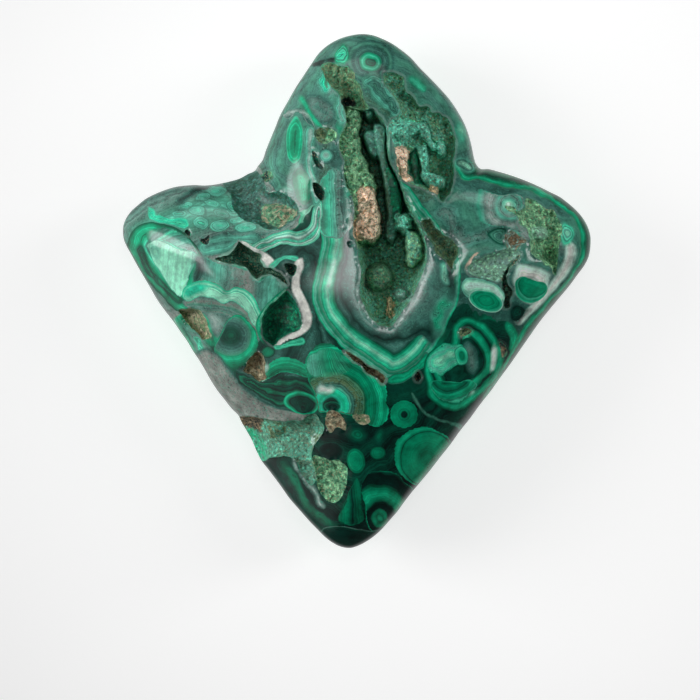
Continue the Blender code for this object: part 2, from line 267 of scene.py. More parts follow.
# The shades by their own names, for the long tables below
(
    NONE, BLACK, INK, DEEP, RICH, GREEN, BRIGHT, JADE, AQUA, MINT, PALE, WHITE, SLATE, TEAL, GREY, ASH,
    MIST, TURQUOISE, CRUST, FERN, MOSS, LICHEN, SAGE, OLIVE, BROWN, SAND, BEIGE, PINK,
) = Shade


@dataclass(frozen=True)
class PlanSheet:
    """The sheet that the stone is drawn on, and where its squares lie on the stone.

    A square is a fixed angle seen from the eye, so it is smaller where the stone stands higher.
    """

    rim_square: float
    girdle: float
    eye_height: float = 1.0
    middle: Pair = (356.5, 291.0)
    eye: Pair = (350.0, 350.0)

    @property
    def table_square(self) -> float:
        """The scale on the table.

        Returns:
            Width of a square there, in metres.
        """
        return self.rim_square / (1 - self.girdle / self.eye_height)

    @property
    def eye_place(self) -> np.ndarray:
        """The place straight below the eye.

        Returns:
            Its x and y, in metres.
        """
        return (np.array(self.eye) - self.middle) * self.rim_square * (1.0, -1.0)

    def place(self, plan: np.ndarray, z: np.ndarray) -> np.ndarray:
        """The places of plan points on a surface.

        Args:
            plan: plan points, one row each.
            z: the surface's height at each point, in metres.

        Returns:
            Places in metres, one row each.
        """
        square = self.table_square * (1 - z / self.eye_height)
        flat = (plan - self.eye) * (1.0, -1.0) * square[:, None] + self.eye_place
        return np.column_stack([flat, z])


@dataclass(frozen=True)
class Patch:
    """A hollow, or a crust standing in one: an outline, and a spine along its deepest or highest line.

    Each point of the spine has its depth below the crown in mm. A crust also has the depth of its foot. A higher
    steepness gives steeper walls. The tint and the fleck colour the crystals, and rim is how bright the seam
    along the outline is. Gloss, knobby and ragged say how polished, how lumpy and how uneven the patch is.
    """

    name: str
    outline: Drawn
    spine: Drawn
    tint: Shade
    steepness: float = 4.0
    foot: float | None = None
    gloss: float = 0.0
    knobby: float = 1.0
    ragged: float = 1.0
    rim: float = 0.15
    fleck: Shade = Shade.OLIVE
    ring_inset: float = 1.1
    widest_inset: float = 0.4
    fewest_points: int = 6

    def loop(self, step: float = 1.6) -> np.ndarray:
        """The outline as a smooth, slightly ragged loop.

        Args:
            step: rough spacing of its points, in squares.

        Returns:
            The loop's points.
        """
        smooth = smooth_path(self.outline, DRAWN_STEPS)
        run = np.hypot(*(np.roll(smooth, -1, axis=0) - smooth).T)
        along = np.concatenate([[0.0], np.cumsum(run)])
        closed = np.vstack([smooth, smooth[:1]])
        count = max(int(along[-1] / step), self.fewest_points)
        wanted = np.linspace(0.0, along[-1], count, endpoint=False)
        loop = np.column_stack([np.interp(wanted, along, closed[:, axis]) for axis in (0, 1)])
        return loop + self.ragged * push(loop, RAGGED_WAVES, RAGGED_SEEDS)

    def knots(self) -> np.ndarray:
        """The spine.

        Returns:
            Its points, at least two of them.
        """
        knots = np.array(self.spine, float)
        return knots if len(knots) > 1 else np.vstack([knots, knots + (NUDGE, NUDGE, 0.0)])

    def rings(self, loop: np.ndarray) -> list[np.ndarray]:
        """The loops that the mesh follows down this patch's walls.

        Args:
            loop: the outline's loop.

        Returns:
            The outline's loop and one just inside it.
        """
        _, spine = nearest_on(loop, self.knots(), closed=False)
        inward = spine[:, :2] - loop
        width = np.maximum(np.hypot(*inward.T), 1e-6)[:, None]
        return [loop, loop + inward / width * np.minimum(self.ring_inset, self.widest_inset * width)]

    def relief(self, points: np.ndarray, loop: np.ndarray) -> tuple[np.ndarray, ...]:
        """What this patch does at plan points.

        Args:
            points: plan points, one row each.
            loop: the outline's loop.

        Returns:
            Whether each point is inside, and for those that are, how far along from the outline (0) to the
            spine (1) they are, the spine's depth in mm, and the distance to the outline in squares.
        """
        within = inside(points, loop)
        chosen = points[within]
        edge, _ = nearest_on(chosen, loop, closed=True)
        middle, spine = nearest_on(chosen, self.knots(), closed=False)
        return within, edge / (edge + middle + 1e-9), spine[:, 2], edge


@dataclass(frozen=True)
class Growth:
    """A zone of bands, painted from its outline inwards over the growths before it.

    With a reach the bands are rings at even distances about the spine, or in from the outline where there is no
    spine. Without a reach they are nested between the outline and the spine. Each stop of the ramp is a share of
    the way in and a shade. Bands is how many hairline bands cross it, contrast how plain they are, and wave how
    much they wander. The edge fades over soft, a share of the way in, and over border, in squares.
    """

    name: str
    outline: Drawn
    spine: Drawn
    stops: tuple[tuple[float, Shade], ...]
    bands: float = 14.0
    contrast: float = 0.35
    soft: float = 0.02
    reach: float = 0.0
    wave: float = 1.0
    border: float = 1.5
    margin: float = 16.0
    least_share: float = 0.03

    @property
    def attribute(self) -> str:
        """Where this growth's share is kept.

        Returns:
            The mesh attribute's name.
        """
        return "zone_" + self.name.replace(" ", "_")

    def share(self, points: np.ndarray) -> np.ndarray:
        """How far in each point is: 0 on the outline, 1 on the spine, and negative outside.

        Args:
            points: plan points, one row each.

        Returns:
            The share at each point, from -1 to 1.
        """
        loop = smooth_path(self.outline, GROWTH_STEPS)
        low, high = loop.min(axis=0) - self.margin, loop.max(axis=0) + self.margin
        near = ((points > low) & (points < high)).all(axis=1)
        chosen = points[near] + self.wave * push(points[near], SWAYS, SWAY_SEEDS)
        edge, _ = nearest_on(chosen, loop, closed=True)
        signed = np.where(inside(chosen, loop), edge, -edge)
        if self.spine:
            knots = np.array(self.spine, float)
            if len(knots) > 2:
                knots = smooth_path(self.spine, SPINE_STEPS, closed=False)
            knots = np.vstack([knots, knots[-1:] + NUDGE])
            middle, _ = nearest_on(chosen, knots, closed=False)
            found = signed / (edge + middle + 1e-9)
            if self.reach:
                rings = np.maximum(1 - middle / self.reach, self.least_share)
                found = np.minimum(signed / self.border, rings)
        else:
            found = signed / self.reach
        share = np.full(len(points), -1.0)
        share[near] = np.clip(found, -1.0, 1.0)
        return share


OUTLINE = (
    (362, 34), (372, 35), (382, 38.6), (392, 43.5), (400, 49), (410, 57), (420, 68), (430, 78), (440, 88.5),
    (450, 100), (458, 112), (465, 125), (469, 136), (472, 148), (474, 158), (476, 164), (480, 168.5), (488, 169),
    (500, 172), (510, 175), (520, 178.5), (530, 182.5), (540, 187), (550, 192), (560, 197), (568, 203), (576, 210),
    (583.5, 219), (588, 227.5), (590.5, 237), (590.5, 245), (588.5, 257), (584, 266), (578, 274), (570, 285),
    (560, 297), (550, 309), (540, 321.5), (530.5, 335), (520, 350), (510, 364.5), (500, 378), (490, 392),
    (480.5, 404), (470, 418.5), (460, 431), (450, 445), (440, 457.5), (430, 470.5), (420.5, 482), (412, 492),
    (405, 501), (397, 512), (390, 520), (382, 529), (375, 535.5), (368, 540.5), (360, 545), (350, 548),
    (340, 546.4), (331.5, 542), (325, 537), (317.5, 529.5), (310, 521.8), (300, 510.5), (290, 499), (280, 485),
    (269.5, 471), (261.7, 460.8), (256, 449.7), (251.7, 439.5), (246.5, 430.5), (241.4, 421.7), (238.6, 415.7),
    (232, 409), (224, 399), (217, 390), (210, 379), (205, 370), (199, 360), (193, 351), (187, 341), (180, 331),
    (173, 321), (166, 312), (158, 301), (151, 289), (144, 277), (137, 265), (131, 254), (126.5, 246), (124, 240),
    (123, 232), (123.5, 225), (126, 218.5), (131, 211.4), (138, 205), (145, 199.3), (155, 194), (165, 190),
    (175, 187), (186, 185.5), (195, 185), (205, 185.5), (213, 184.8), (221, 183.4), (230, 181.4), (240, 178.4),
    (248, 174), (255, 170.6), (258, 166), (262, 161), (266, 150), (270.4, 139), (275, 128), (280, 115.5),
    (288.4, 100.4), (296, 87), (303, 76.4), (311, 64.4), (319.5, 52.5), (330.5, 43.4), (340, 38.6), (350, 35.6),
)

# Roundness of the flanks, by compass angle in degrees from right towards top
FLANKS = ((-180, 4.2), (-150, 3.6), (-110, 3.8), (-80, 6.0), (-40, 8.5), (0, 6.5), (50, 5.5), (95, 4.6), (150, 3.8))

# Swells and saddles of the crown: plan point, height in mm, reach in mm
SWELLS = (
    ((215, 285), 1.4, 13.0),
    ((545, 262), 1.4, 10.0),
    ((360, 345), 1.2, 16.0),
    ((250, 200), -2.4, 8.0),
    ((472, 180), -1.2, 7.0),
    ((300, 470), -2.2, 12.0),
    ((360, 500), -1.6, 12.0),
)

# The hollows, then the crusts that stand in them
PATCHES = (
    Patch(
        "central trough",
        ((343, 104), (352, 108), (362, 110), (371, 108), (379, 114), (386, 124), (388, 140), (389, 158), (396, 172),
         (402, 186), (408, 202), (414, 215), (421, 226), (426, 240), (427, 252), (425, 266), (421, 278), (415, 292),
         (405, 308), (398, 318), (392, 326), (384, 327), (372, 319), (363, 304), (359, 290), (361, 275), (358, 252),
         (353, 230), (354, 214), (352, 200), (346, 184), (344, 172), (344, 162), (340, 150), (339, 138), (345, 128),
         (346, 116)),
        ((354, 116, 8.0), (364, 122, 11.0), (366, 145, 13.0), (372, 168, 14.0), (380, 190, 15.0), (383, 212, 15.0),
        (384, 236, 15.0), (388, 254, 13.5), (386, 280, 9.0), (382, 306, 6.0)), MOSS, 5.0, knobby=1.6, rim=0.35,
        fleck=CRUST,
    ),
    Patch(
        "upper basin",
        ((322, 64), (330, 62), (338, 65), (346, 66), (353, 73), (358, 82), (362, 92), (366, 102), (371, 109),
         (361, 111), (352, 109), (344, 106), (340, 97), (333, 89), (326, 79)),
        ((334, 72, 2.2), (348, 86, 3.6), (358, 103, 5.0)), MOSS, 3.0, knobby=2.2, ragged=1.4, rim=0.1, fleck=OLIVE,
    ),
    Patch(
        "basin hole", ((341, 99), (346, 96), (353, 99), (355, 105), (348, 107), (342, 105)),
        ((348, 102, 6.0),), BLACK, 3.0, ragged=0.4, rim=0.0, fleck=INK,
    ),
    Patch(
        "upper vug",
        ((383, 74), (392, 73), (402, 76), (405, 85), (406, 91), (413, 97), (420, 106), (427, 106), (433, 112),
         (441, 114), (448, 119), (454, 132), (456, 150), (453, 160), (454, 178), (449, 194), (443, 203), (436, 194),
         (424, 189), (410, 184), (400, 178), (396, 160), (395, 147), (392, 140), (388, 130), (392, 120), (400, 112),
         (396, 100), (389, 90), (384, 83)),
        ((392, 82, 2.6), (412, 104, 3.4), (432, 122, 3.6), (444, 138, 4.2), (448, 166, 6.4), (446, 190, 6.4)), MOSS,
        4.0, knobby=2.2, rim=0.4, fleck=CRUST,
    ),
    Patch(
        "side vug",
        ((421, 220), (429, 219), (436, 229), (447, 236), (457, 245), (460, 253), (455, 259), (452, 270), (446, 261),
         (438, 256), (433, 246), (426, 234)),
        ((430, 228, 2.6), (452, 251, 4.0)), OLIVE, 4.0, knobby=1.6, rim=0.3, fleck=FERN,
    ),
    Patch(
        "right vug",
        ((525, 199), (532, 199), (540, 204), (548, 209), (555, 211), (557, 217), (562, 224), (562, 233), (560, 246),
         (559, 260), (555, 276), (551, 268), (540, 262), (533, 256), (529, 244), (530, 237), (526, 229), (519, 224),
         (518, 216), (506, 209), (504, 206), (512, 206), (519, 211), (524, 208)),
        ((529, 211, 2.2), (545, 226, 3.4), (549, 254, 5.4)), MOSS, 3.0, knobby=2.2, ragged=1.4, fleck=LICHEN,
    ),
    Patch(
        "right bud", ((506, 233), (512, 230), (519, 235), (527, 241), (520, 246), (516, 250), (508, 250), (505, 243)),
        ((514, 241, 1.8),), BROWN, 2.0, fleck=GREY,
    ),
    Patch(
        "right basin",
        ((469, 273), (471, 262), (482, 257), (497, 251), (510, 248), (521, 254), (517, 262), (510, 268), (507, 277),
         (500, 282), (489, 280), (476, 276)),
        ((478, 268, 1.8), (502, 262, 2.2)), SAGE, 3.0, gloss=0.5, knobby=0.1, rim=0.3, fleck=GREY,
    ),
    Patch(
        "right crack",
        ((520, 255), (516, 262), (511, 268), (507, 275), (508, 284), (513, 291), (510, 300), (509, 308), (504, 309),
         (505, 298), (502, 288), (504, 272), (510, 263)),
        ((508, 272, 2.6), (507, 300, 3.4)), INK, 3.0, ragged=0.6, rim=0.3, fleck=FERN,
    ),
    Patch(
        "left crack",
        ((239, 240), (245, 246), (254, 251), (262, 255), (261, 261), (264, 267), (272, 268), (281, 274), (288, 286),
         (280, 280), (270, 275), (262, 276), (257, 280), (251, 275), (247, 268), (238, 265), (226, 263), (214, 259),
         (222, 256), (231, 253), (236, 247)),
        ((226, 258, 2.4), (243, 257, 5.0), (256, 266, 6.0), (276, 274, 3.0)), DEEP, 4.0, knobby=0.5, rim=0.6,
        fleck=FERN,
    ),
    Patch(
        "oval vug",
        ((287, 291), (294, 299), (299, 310), (302, 325), (297, 331), (288, 334), (281, 339), (273, 346), (266, 341),
         (262, 332), (262, 318), (268, 307), (278, 298)),
        ((284, 306, 3.6), (276, 320, 5.2), (270, 330, 6.4)), DEEP, 2.6, gloss=0.6, knobby=0.15, rim=0.3, fleck=RICH,
    ),
    Patch(
        "edge vug",
        ((179, 310), (190, 308), (200, 310), (206, 318), (210, 330), (212, 337), (205, 340), (195, 331), (186, 322)),
        ((193, 314, 5.0), (203, 329, 3.2)), OLIVE, 4.0, rim=0.1, fleck=SAND,
    ),
    Patch(
        "lower pit",
        ((259, 352), (264, 357), (266, 363), (265, 370), (266, 379), (260, 381), (250, 375), (243, 371), (247, 363),
         (251, 356)),
        ((257, 361, 4.0), (255, 371, 2.6)), SAND, 3.0, knobby=0.6, rim=0.1, fleck=BROWN,
    ),
    Patch(
        "crown crack",
        ((344, 351), (352, 354), (361, 359), (368, 366), (378, 371), (386, 379), (383, 383), (376, 378), (367, 373),
         (361, 365), (353, 360)),
        ((353, 358, 2.0), (364, 366, 3.6), (379, 377, 2.8)), BROWN, 3.0, ragged=0.7, rim=0.55, fleck=SAND,
    ),
    Patch(
        "bank pit", ((315, 130), (321, 127), (331, 129), (338, 134), (332, 142), (320, 143)),
        ((326, 135, 1.8),), OLIVE, 2.4, knobby=1.4, rim=0.2, fleck=FERN,
    ),
    Patch(
        "bank cleft", ((312, 150), (316, 153), (320, 162), (324, 170), (318, 169), (313, 160)),
        ((317, 161, 1.4),), INK, 2.0, ragged=0.5, rim=0.1, fleck=DEEP,
    ),
    Patch(
        "slot", ((313, 182), (319, 184), (325, 193), (322, 201), (316, 196)),
        ((317, 187, 2.2), (320, 195, 2.6)), INK, 3.0, ragged=0.4, rim=0.1, fleck=DEEP,
    ),
    Patch(
        "corner pit", ((284, 264), (297, 266), (292, 277), (287, 273)),
        ((291, 269, 2.6),), INK, 3.0, ragged=0.4, rim=0.2, fleck=DEEP,
    ),
    Patch(
        "saddle pit", ((263, 172), (271, 171), (274, 177), (268, 182), (262, 178)),
        ((268, 176, 1.6),), INK, 2.0, rim=0.2, fleck=MOSS,
    ),
    Patch(
        "cell pit", ((184, 231), (188, 229), (191, 233), (190, 237), (186, 235)),
        ((188, 233, 1.2),), BLACK, 2.0, ragged=0.3, rim=0.1, fleck=INK,
    ),
    Patch(
        "cell wedge", ((209, 234), (210, 238), (207, 245), (201, 243), (200, 239), (205, 238)),
        ((205, 240, 1.0),), INK, 2.0, ragged=0.3, rim=0.1, fleck=BLACK,
    ),
    Patch(
        "diamond pit", ((418, 371), (422, 377), (418, 382), (414, 379)),
        ((418, 377, 1.8),), BLACK, 2.0, ragged=0.2, rim=0.25, fleck=BLACK,
    ),
    Patch(
        "nest pit", ((459, 332), (466, 328), (473, 331), (468, 335), (461, 337)),
        ((466, 332, 1.4),), INK, 2.0, ragged=0.6, rim=0.2, fleck=OLIVE,
    ),
    Patch(
        "spark pit", ((500, 341), (505, 345), (507, 355), (503, 359), (500, 350)),
        ((503, 350, 0.9),), BROWN, 2.0, ragged=0.6, rim=0.1, fleck=INK,
    ),
    Patch(
        "saddle recess",
        ((222, 184), (240, 178), (255, 170), (263, 178), (268, 192), (280, 192), (296, 203), (300, 214), (290, 224),
         (270, 230), (258, 225), (242, 219), (232, 208), (230, 194)),
        ((238, 192, 1.6), (254, 204, 2.8), (276, 210, 3.4)), SLATE, 2.0, gloss=0.6, knobby=0.2, rim=0.1, fleck=DEEP,
    ),
    Patch(
        "ledge recess",
        ((226, 413), (239, 415.5), (252, 417), (270, 419.5), (288, 421), (302, 419.5), (314, 413), (321, 420),
         (324, 430), (318, 440), (312, 452), (314, 464), (317, 480), (312, 486), (302, 474), (292, 458), (272, 458),
         (258, 462), (234, 444)),
        ((236, 424, 5.0), (262, 430, 5.0), (288, 434, 4.4), (308, 434, 3.4), (308, 460, 1.4)), FERN, 3.4, gloss=0.2,
        knobby=0.3, rim=0.0, fleck=CRUST,
    ),
    Patch(
        "ledge gap", ((239, 416), (252, 417), (262, 419), (267, 425), (262, 432), (250, 428), (243, 424)),
        ((252, 422, 5.0), (260, 426, 5.0)), BROWN, 3.4, rim=0.0, fleck=BLACK,
    ),
    Patch(
        "ledge sliver", ((247, 429), (256, 431), (263, 440), (268, 452), (267, 460), (259, 461), (252, 448)),
        ((254, 436, 5.0), (262, 454, 3.0)), GREEN, 3.4, gloss=0.6, knobby=0.1, rim=0.0, fleck=CRUST,
    ),
    Patch(
        "tip recess",
        ((314, 455), (322, 457), (330, 460), (340, 460), (346, 466), (348, 478), (345, 490), (340, 499), (333, 503),
         (324, 499), (318, 488), (316, 476), (313, 464)),
        ((330, 474, 1.5), (333, 490, 1.0)), MOSS, 5.0, knobby=1.4, rim=0.0, fleck=LICHEN,
    ),
    Patch(
        "brown knot", ((328, 412), (338, 411), (345, 420), (346, 430), (336, 428), (330, 433), (325, 424)),
        ((336, 421, 0.8),), BROWN, 3.0, rim=0.0, fleck=SAND,
    ),
    Patch(
        "brown knot two", ((352, 415), (360, 413), (369, 416), (370, 422), (362, 425), (355, 421)),
        ((361, 419, 0.7),), SAND, 3.0, rim=0.0,
    ),
    Patch(
        "green wall",
        ((386, 126), (386, 150), (390, 166), (396, 180), (402, 194), (408, 208), (412, 218), (404, 222), (398, 206),
         (391, 184), (384, 158), (383, 134)),
        ((387, 140, 2.0), (402, 200, 2.0)), RICH, 4.0, gloss=0.6, knobby=0.05, ragged=0.3, rim=0.0, fleck=DEEP,
    ),
    # Crusts
    Patch(
        "ochre bank",
        ((338, 114), (345, 107), (354, 107), (361, 112), (361, 130), (365, 150), (372, 168), (378, 182), (380, 204),
         (383, 222), (379, 240), (369, 245), (352, 250), (340, 236), (336, 204), (328, 176), (324, 156), (326, 134)),
        ((353, 114, 1.8), (353, 146, 1.3), (360, 178, 1.2), (368, 206, 1.2), (369, 232, 2.8)), MOSS, 6.0, foot=14.0,
        knobby=3.0, ragged=2.6, rim=0.0, fleck=LICHEN,
    ),
    Patch(
        "pink bank",
        ((356, 196), (362, 186), (372, 187), (378, 200), (383, 216), (380, 234), (371, 242), (360, 242), (352, 232),
         (359, 212)),
        ((365, 194, 1.2), (368, 212, 1.2), (368, 232, 2.8)), PINK, 5.0, foot=14.0, knobby=3.2, ragged=2.8, rim=0.0,
        fleck=SAND,
    ),
    Patch(
        "green tongue",
        ((375, 120), (386, 126), (387, 140), (387, 157), (395, 172), (402, 188), (404, 204), (399, 226), (393, 244),
         (387, 240), (387, 212), (384, 190), (380, 168), (375, 150)),
        ((381, 130, 1.8), (383, 156, 2.2), (391, 186, 3.0), (393, 214, 5.0), (391, 234, 8.0)), FERN, 9.0, foot=15.0,
        gloss=0.6, knobby=0.4, rim=0.0, fleck=TEAL,
    ),
    Patch(
        "tongue shade",
        ((387, 160), (393, 168), (400, 184), (404, 201), (401, 216), (396, 222), (392, 206), (389, 186)),
        ((391, 176, 3.0), (396, 200, 4.0), (396, 214, 5.0)), RICH, 7.0, foot=15.0, gloss=0.7, knobby=0.1, rim=0.0,
        fleck=DEEP,
    ),
    Patch(
        "trough bead", ((363, 110), (369, 106), (375, 109), (376, 116), (370, 121), (364, 117)),
        ((369, 113, 2.6),), CRUST, 4.0, foot=12.0, knobby=0.2, gloss=0.3, rim=0.0, fleck=SLATE,
    ),
    Patch(
        "tear lump", ((363, 131), (369, 127), (377, 130), (381, 142), (380, 156), (374, 160), (367, 149)),
        ((370, 136, 2.6), (373, 150, 3.6)), TEAL, 7.0, foot=13.0, knobby=0.2, gloss=0.6, rim=0.0, fleck=CRUST,
    ),
    Patch(
        "floor ball",
        ((379, 260), (389, 264), (396, 276), (391, 290), (379, 295), (367, 291), (362, 279), (367, 266)),
        ((378, 277, 4.2),), MOSS, 5.0, foot=14.0, knobby=1.4, rim=0.0, fleck=FERN,
    ),
    Patch(
        "beige finger", ((388, 296), (392, 297), (394, 308), (393, 318), (389, 317), (387, 306)),
        ((390, 301, 4.6), (391, 313, 4.2)), BEIGE, 2.2, foot=8.0, knobby=0.5, rim=0.0,
    ),
    Patch(
        "mint shelf",
        ((408, 228), (414, 230), (422, 236), (425, 250), (423, 262), (414, 268), (407, 260), (405, 243)),
        ((412, 236, 2.6), (416, 248, 1.4), (414, 260, 2.6)), LICHEN, 7.0, foot=14.0, knobby=1.2, ragged=2.0, rim=0.0,
        fleck=CRUST,
    ),
    Patch(
        "shelf knobs", ((398, 213), (407, 210), (414, 218), (413, 230), (404, 236), (397, 228)),
        ((405, 222, 3.2),), CRUST, 6.0, foot=14.0, knobby=2.4, ragged=2.0, rim=0.0, fleck=TURQUOISE,
    ),
    Patch(
        "floor knob", ((394, 290), (401, 286), (410, 288), (412, 296), (404, 303), (396, 300)),
        ((403, 294, 2.8),), CRUST, 4.0, foot=12.0, knobby=2.0, ragged=2.0, rim=0.0, fleck=GREY,
    ),
    Patch(
        "turquoise crust",
        ((386, 122), (395, 117), (406, 119), (418, 121), (426, 128), (418, 136), (408, 143), (398, 145), (388, 138)),
        ((396, 130, 0.9), (412, 127, 1.1)), TURQUOISE, 6.0, foot=8.0, knobby=2.6, ragged=2.4, rim=0.0, fleck=CRUST,
    ),
    Patch(
        "turquoise arc",
        ((414, 122), (423, 120), (430, 128), (434, 140), (440, 150), (434, 152), (424, 142), (417, 133)),
        ((423, 128, 1.2), (428, 138, 1.4), (435, 148, 1.8)), TURQUOISE, 5.0, foot=7.0, knobby=2.0, ragged=2.0,
        rim=0.0, fleck=CRUST,
    ),
    Patch(
        "turquoise rib",
        ((419, 144), (427, 143), (429, 156), (428, 170), (436, 172), (445, 178), (444, 189), (434, 190), (425, 184),
         (420, 168)),
        ((423, 152, 1.6), (424, 172, 1.4), (436, 182, 1.2)), CRUST, 6.0, foot=7.0, knobby=2.4, ragged=2.0, rim=0.0,
        fleck=TURQUOISE,
    ),
    Patch(
        "turquoise bud", ((436, 141), (441, 140), (447, 147), (447, 157), (441, 158), (435, 149)),
        ((439, 147, 1.6),), TURQUOISE, 5.0, foot=7.0, knobby=1.8, ragged=1.8, rim=0.0, fleck=CRUST,
    ),
    Patch(
        "pink rib",
        ((396, 148), (402, 144), (408, 149), (409, 160), (408, 172), (413, 181), (405, 182), (400, 174), (397, 160)),
        ((402, 151, 0.9), (403, 166, 1.0), (407, 178, 1.2)), PINK, 7.0, foot=7.0, knobby=2.0, ragged=1.4, rim=0.0,
        fleck=SAND,
    ),
    Patch(
        "vug lump", ((411, 150), (416, 147), (419, 156), (420, 172), (424, 184), (416, 184), (411, 172)),
        ((415, 154, 3.0), (417, 178, 3.0)), RICH, 4.0, foot=6.0, knobby=0.4, gloss=0.5, rim=0.0, fleck=DEEP,
    ),
    Patch(
        "gold ring", ((429, 188), (435, 185), (439, 190), (436, 197), (430, 195)),
        ((434, 191, 0.8),), BEIGE, 2.2, foot=4.0, knobby=1.0, rim=0.0, fleck=SAND,
    ),
    Patch(
        "basin crust", ((505, 213), (515, 216), (520, 228), (514, 231), (509, 224)),
        ((514, 222, 0.9),), CRUST, 2.2, foot=2.0, knobby=1.2, rim=0.0, fleck=MIST,
    ),
    Patch(
        "pale button", ((532, 228), (540, 225), (548, 229), (549, 237), (541, 241), (533, 238)),
        ((540, 233, 1.4),), SAGE, 3.0, foot=3.4, knobby=0.1, gloss=0.6, rim=0.0, fleck=SAGE,
    ),
    Patch(
        "saddle lump", ((262, 206), (274, 203), (288, 206), (298, 212), (290, 222), (272, 226), (262, 219)),
        ((280, 214, 1.0),), MOSS, 2.0, foot=3.0, knobby=1.2, gloss=0.2, rim=0.0, fleck=SAND,
    ),
    Patch(
        "recess boss", ((262, 422), (274, 420), (284, 424), (286, 434), (276, 439), (264, 436)),
        ((273, 428, 2.8),), CRUST, 2.0, foot=5.0, knobby=0.5, rim=0.0, fleck=OLIVE,
    ),
    Patch(
        "recess bead", ((311, 437), (318, 434), (325, 438), (325, 446), (317, 449), (311, 444)),
        ((318, 441, 0.6),), MIST, 2.0, foot=3.0, knobby=0.1, gloss=0.6, rim=0.0,
    ),
)


def oval(x: float, y: float, wide: float, high: float, turn: float = 0.0) -> Drawn:
    """The outline of an oval.

    Args:
        x: its centre's plan place across.
        y: its centre's plan place down.
        wide: half its width.
        high: half its height.
        turn: how far it is turned, in degrees.

    Returns:
        Twelve points round it.
    """
    c, s = math.cos(math.radians(turn)), math.sin(math.radians(turn))
    corners = [(wide * math.cos(a), high * math.sin(a)) for a in np.arange(12) * math.pi / 6]
    return tuple((x + c * across - s * down, y + s * across + c * down) for across, down in corners)


# The cells above the left crack: place, half width, half height and turn
CELLS = (
    (184, 205, 9, 4.5, -12), (196, 211, 12, 6, 14), (216, 191, 14, 6, 8), (222, 214, 9, 4, 6), (200, 222, 9, 6, 10),
    (213, 204, 11, 5, 14), (235, 204, 7, 6, 0), (220, 225, 13, 6, -4), (246, 227, 12, 5.5, 2), (237, 219, 8, 3.5, 4),
    (203, 198, 10, 5, -14), (178, 213, 9, 4, 10),
)
